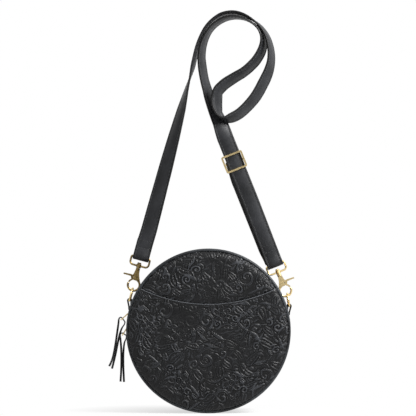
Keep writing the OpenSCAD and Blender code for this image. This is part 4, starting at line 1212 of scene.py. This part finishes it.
class CIRCLEBAG_OT_piping(bpy.types.Operator):
    """Makes the two rings of leather piping with their sewn flanges"""
    bl_idname = "circlebag.piping"
    bl_label = "Piping"

    def execute(self, context):
        cord, half = PIPING_D / 2, math.sqrt(0.5)
        flange = [[PIPING_R - half * FLANGE - side * half * 0.4,
                   PIPING_H - half * FLANGE + side * half * 0.4] for side in (1, -1)]
        section = np.vstack([ellipse([PIPING_R, PIPING_H], cord, cord, -125, 215, 28), flange])
        for node, backwards in (("front_piping", False), ("back_piping", True)):
            made = turned_part(node + "_leather", section, 0, 360, fine(180, 720),
                               FINISHES["piping"], backwards)
            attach(made, "bag")
            dressed(node)
        return {"FINISHED"}


class CIRCLEBAG_OT_gusset(bpy.types.Operator):
    """Makes the leather round the bag's edge, its zip strips, its ring tabs and their seams"""
    bl_idname = "circlebag.gusset"
    bl_label = "Gusset and strips"

    def execute(self, context):
        seams = context.scene.circlebag_seams
        edge = places(GUSSET_EDGE)
        wall = edge[-1, 0]
        inner = np.vstack([edge, [[wall, ZIP_H + ZIP_GAP / 2]]])
        whole = np.vstack([edge, edge[::-1] * [1, -1]])
        centre = np.array([[wall, ZIP_H - ZIP_GAP / 2], [wall, ZIP_GAP / 2 - ZIP_H]])
        top, low = (-ZIP_DROP, 180 + ZIP_DROP), (180 + ZIP_DROP + 0.06, 360 - ZIP_DROP - 0.06)
        for node, line, angles, backwards in (
                ("lower_gusset", whole, low, False), ("front_zip_strip", inner, top, False),
                ("back_zip_strip", inner, top, True), ("centre_strip", centre, top, False)):
            line = resample(line, 0.6)
            section = np.vstack([offset_line(line, LEATHER / 2),
                                 offset_line(line, -LEATHER / 2)[::-1]])
            made = turned_part(node + "_leather", section, *angles, fine(90, 360),
                               FINISHES["plain"], backwards)
            tidy_normals(made)
            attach(made, "bag")
            dressed(node)
        rows = [rim_places(seams.stitch_pitch / MM, top[0] + 1, top[1] - 1, GUSSET_R, h * sign)
                for h in (ZIP_H + ZIP_GAP / 2 + 1.6, ZIP_H - ZIP_GAP / 2 - 1.6) for sign in (-1, 1)]
        stitches("zip_seams", *(np.vstack(part) for part in zip(*rows)), "bag", seams)
        for node, table in (("left_tab", LEFT_TAB), ("right_tab", RIGHT_TAB)):
            flat = smooth_line(places(table), 0.8)
            line = np.stack([flat[:, 0] + BAG_X, 0 * flat[:, 0], flat[:, 1] + BAG_Z], axis=1)
            across = np.tile([0.0, 1.0, 0.0], (len(line), 1))
            tab = swept(node + "_leather", line, across, band_section(TAB_W, LEATHER, 0.5),
                        FINISHES["plain"], "bag")
            dressed(node)
            run, across, up = course_frames(line, across)
            sign = 1 if np.dot(up[-8], line[-8] - [BAG_X, 0, BAG_Z]) > 0 else -1
            at = runs_of(line)[1:]
            seam = []
            for backs, outs, way in ((np.arange(1.8, 15.0, 3.6), (-5.6, 5.6), run),
                                     ((1.4, 14.2), (-3.7, 0.0, 3.7), across)):
                for k in (int(np.searchsorted(at, at[-1] - back)) for back in backs):
                    seam += [(line[k] + across[k] * v + up[k] * sign * LEATHER / 2, way[k],
                              up[k] * sign) for v in outs]
            stitches(node + "_seams", *zip(*seam), "bag", seams)
        return {"FINISHED"}


class CIRCLEBAG_OT_strap(bpy.types.Operator):
    """Makes the long looped strap, its turned-back end and their sewing"""
    bl_idname = "circlebag.strap"
    bl_label = "Strap"

    def execute(self, context):
        seams = context.scene.circlebag_seams
        pitch = seams.stitch_pitch / MM
        for node, table, thick in (("strap", STRAP_ROUTE, STRAP_T),
                                   ("strap_return", RETURN_ROUTE, RETURN_T)):
            route = smooth_line(places(table), fine(3.0, 1.2))
            line, across = route[:, :3] + [BAG_X, 0, BAG_Z], route[:, 3:]
            section = band_section(STRAP_W, thick, min(0.8, thick * 0.42), SEAM_IN, 0.28, 0.12)
            body = "strap"
            if node == "strap_return":
                fold = line[np.argmin(np.abs(line[:, 2] - BAG_Z - FOLD_Z))]
                body = ("strap", "slide", line[0] * MM, fold * MM)
            made = swept(node + "_leather", line, across, section, FINISHES["strap"], body)
            dressed(node)
            sewn = seam_rows(line, across, STRAP_W / 2 - SEAM_IN, thick / 2 - 0.15, pitch)
            if node == "strap":
                ends = cross_seams(line, across, STRAP_W / 2 - 3.6, thick / 2, pitch)
                sewn = [np.vstack(pair) for pair in zip(sewn, ends)]
            stitches(node + "_seams", *sewn, body, seams)
        return {"FINISHED"}


class CIRCLEBAG_OT_laces(bpy.types.Operator):
    """Makes the suede laces that hang from the two zip pulls"""
    bl_idname = "circlebag.laces"
    bl_label = "Laces"

    def execute(self, context):
        section = band_section(LACE_W, LACE_T, 0.5)
        for side, letter, table, mirror in (
                ("front", "a", FRONT_LACE_A, 1), ("front", "b", FRONT_LACE_B, 1),
                ("back", "a", BACK_LACE_A, -1), ("back", "b", BACK_LACE_B, -1)):
            node = side + "_lace_" + letter
            line = joint_place(side + "_tassel_hang") + smooth_line(
                places(table) * [1, mirror, 1], 0.8)
            fall = np.clip(np.linspace(0, len(line) * 0.8 / 14, len(line)) - 0.4, 0, 1)
            turn = fall * fall * (3 - 2 * fall) * math.radians(72)
            across = np.stack([np.sin(turn), np.cos(turn), 0 * turn], axis=1)
            made = swept(node + "_suede", line, across, section, FINISHES["suede"],
                         side + "_tassel")
            dressed(node)
        return {"FINISHED"}


class CIRCLEBAG_OT_stage(bpy.types.Operator):
    """Makes the pale floor and backdrop, the soft lamps and the camera"""
    bl_idname = "circlebag.stage"
    bl_label = "Stage"

    def execute(self, context):
        spec = context.scene.circlebag_stage
        scene = context.scene
        corners = [[x * FLOOR_HALF, y * FLOOR_HALF, CAD_BOUNDS[0].z / MM]
                   for x, y in ((-1, -1), (1, -1), (1, 1), (-1, 1))]
        ground = new_piece("floor", corners, [(0, 1, 2, 3)], floor_material(spec.floor_glow),
                           smooth=False)
        scene.world = studio_world(spec.room, spec.studio)
        for name, place, size, power in (
                ("key_lamp", (1.0, -0.75, 0.72), 0.7, spec.key),
                ("fill_lamp", (-1.3, -1.3, 0.5), 0.9, spec.fill),
                ("front_lamp", (0.2, -2.6, 0.9), 1.2, spec.front)):
            lamp = bpy.data.lights.new(name, "AREA")
            lamp.size, lamp.energy = size, power
            held = add_object(name, lamp, place)
            aim = Vector((BAG_X * MM, 0, AIM_Z)) - held.location
            held.rotation_euler = aim.to_track_quat("-Z", "Y").to_euler()
        eye = bpy.data.cameras.new("camera")
        eye.sensor_width = 36.0
        eye.lens = eye.sensor_width * (spec.away - VIEW_PLANE) / VIEW_WIDTH
        held = add_object("camera", eye, (VIEW_X, -spec.away, spec.camera_height))
        held.rotation_euler = (
            math.pi / 2 + math.atan((VIEW_Z - spec.camera_height) / spec.away), 0, 0)
        scene.camera = held
        scene.view_settings.view_transform = "Standard"
        return {"FINISHED"}


class CIRCLEBAG_PT_panel(bpy.types.Panel):
    """The bag's pieces, sizes and colours"""
    bl_label = "Circle Bag"
    bl_space_type = "VIEW_3D"
    bl_region_type = "UI"
    bl_category = "Circle Bag"

    def draw(self, context):
        for operator in OPERATORS:
            self.layout.operator(operator.bl_idname)
        for name in GROUPS:
            group = getattr(context.scene, name)
            box = self.layout.box()
            for key in group.bl_rna.properties.keys():
                if key not in {"rna_type", "name"}:
                    box.prop(group, key)


OPERATORS = (CIRCLEBAG_OT_finishes, CIRCLEBAG_OT_faces, CIRCLEBAG_OT_piping, CIRCLEBAG_OT_gusset,
             CIRCLEBAG_OT_strap, CIRCLEBAG_OT_laces, CIRCLEBAG_OT_stage)
GROUPS = {"circlebag_colours": CIRCLEBAG_PG_colours, "circlebag_seams": CIRCLEBAG_PG_seams,
          "circlebag_tooling": CIRCLEBAG_PG_tooling, "circlebag_stage": CIRCLEBAG_PG_stage}
CLASSES = tuple(GROUPS.values()) + OPERATORS + (CIRCLEBAG_PT_panel,)


def register():
    """Adds the classes and their settings to Blender."""
    for made in CLASSES:
        bpy.utils.register_class(made)
    for name, group in GROUPS.items():
        setattr(bpy.types.Scene, name, bpy.props.PointerProperty(type=group))


def unregister():
    """Takes the settings and classes out again."""
    for name in GROUPS:
        delattr(bpy.types.Scene, name)
    for made in reversed(CLASSES):
        bpy.utils.unregister_class(made)


def main():
    """Registers the classes and makes every piece and the stage."""
    register()
    for operator in OPERATORS:
        group, name = operator.bl_idname.split(".")
        getattr(getattr(bpy.ops, group), name)()


if __name__ == "__main__":
    main()
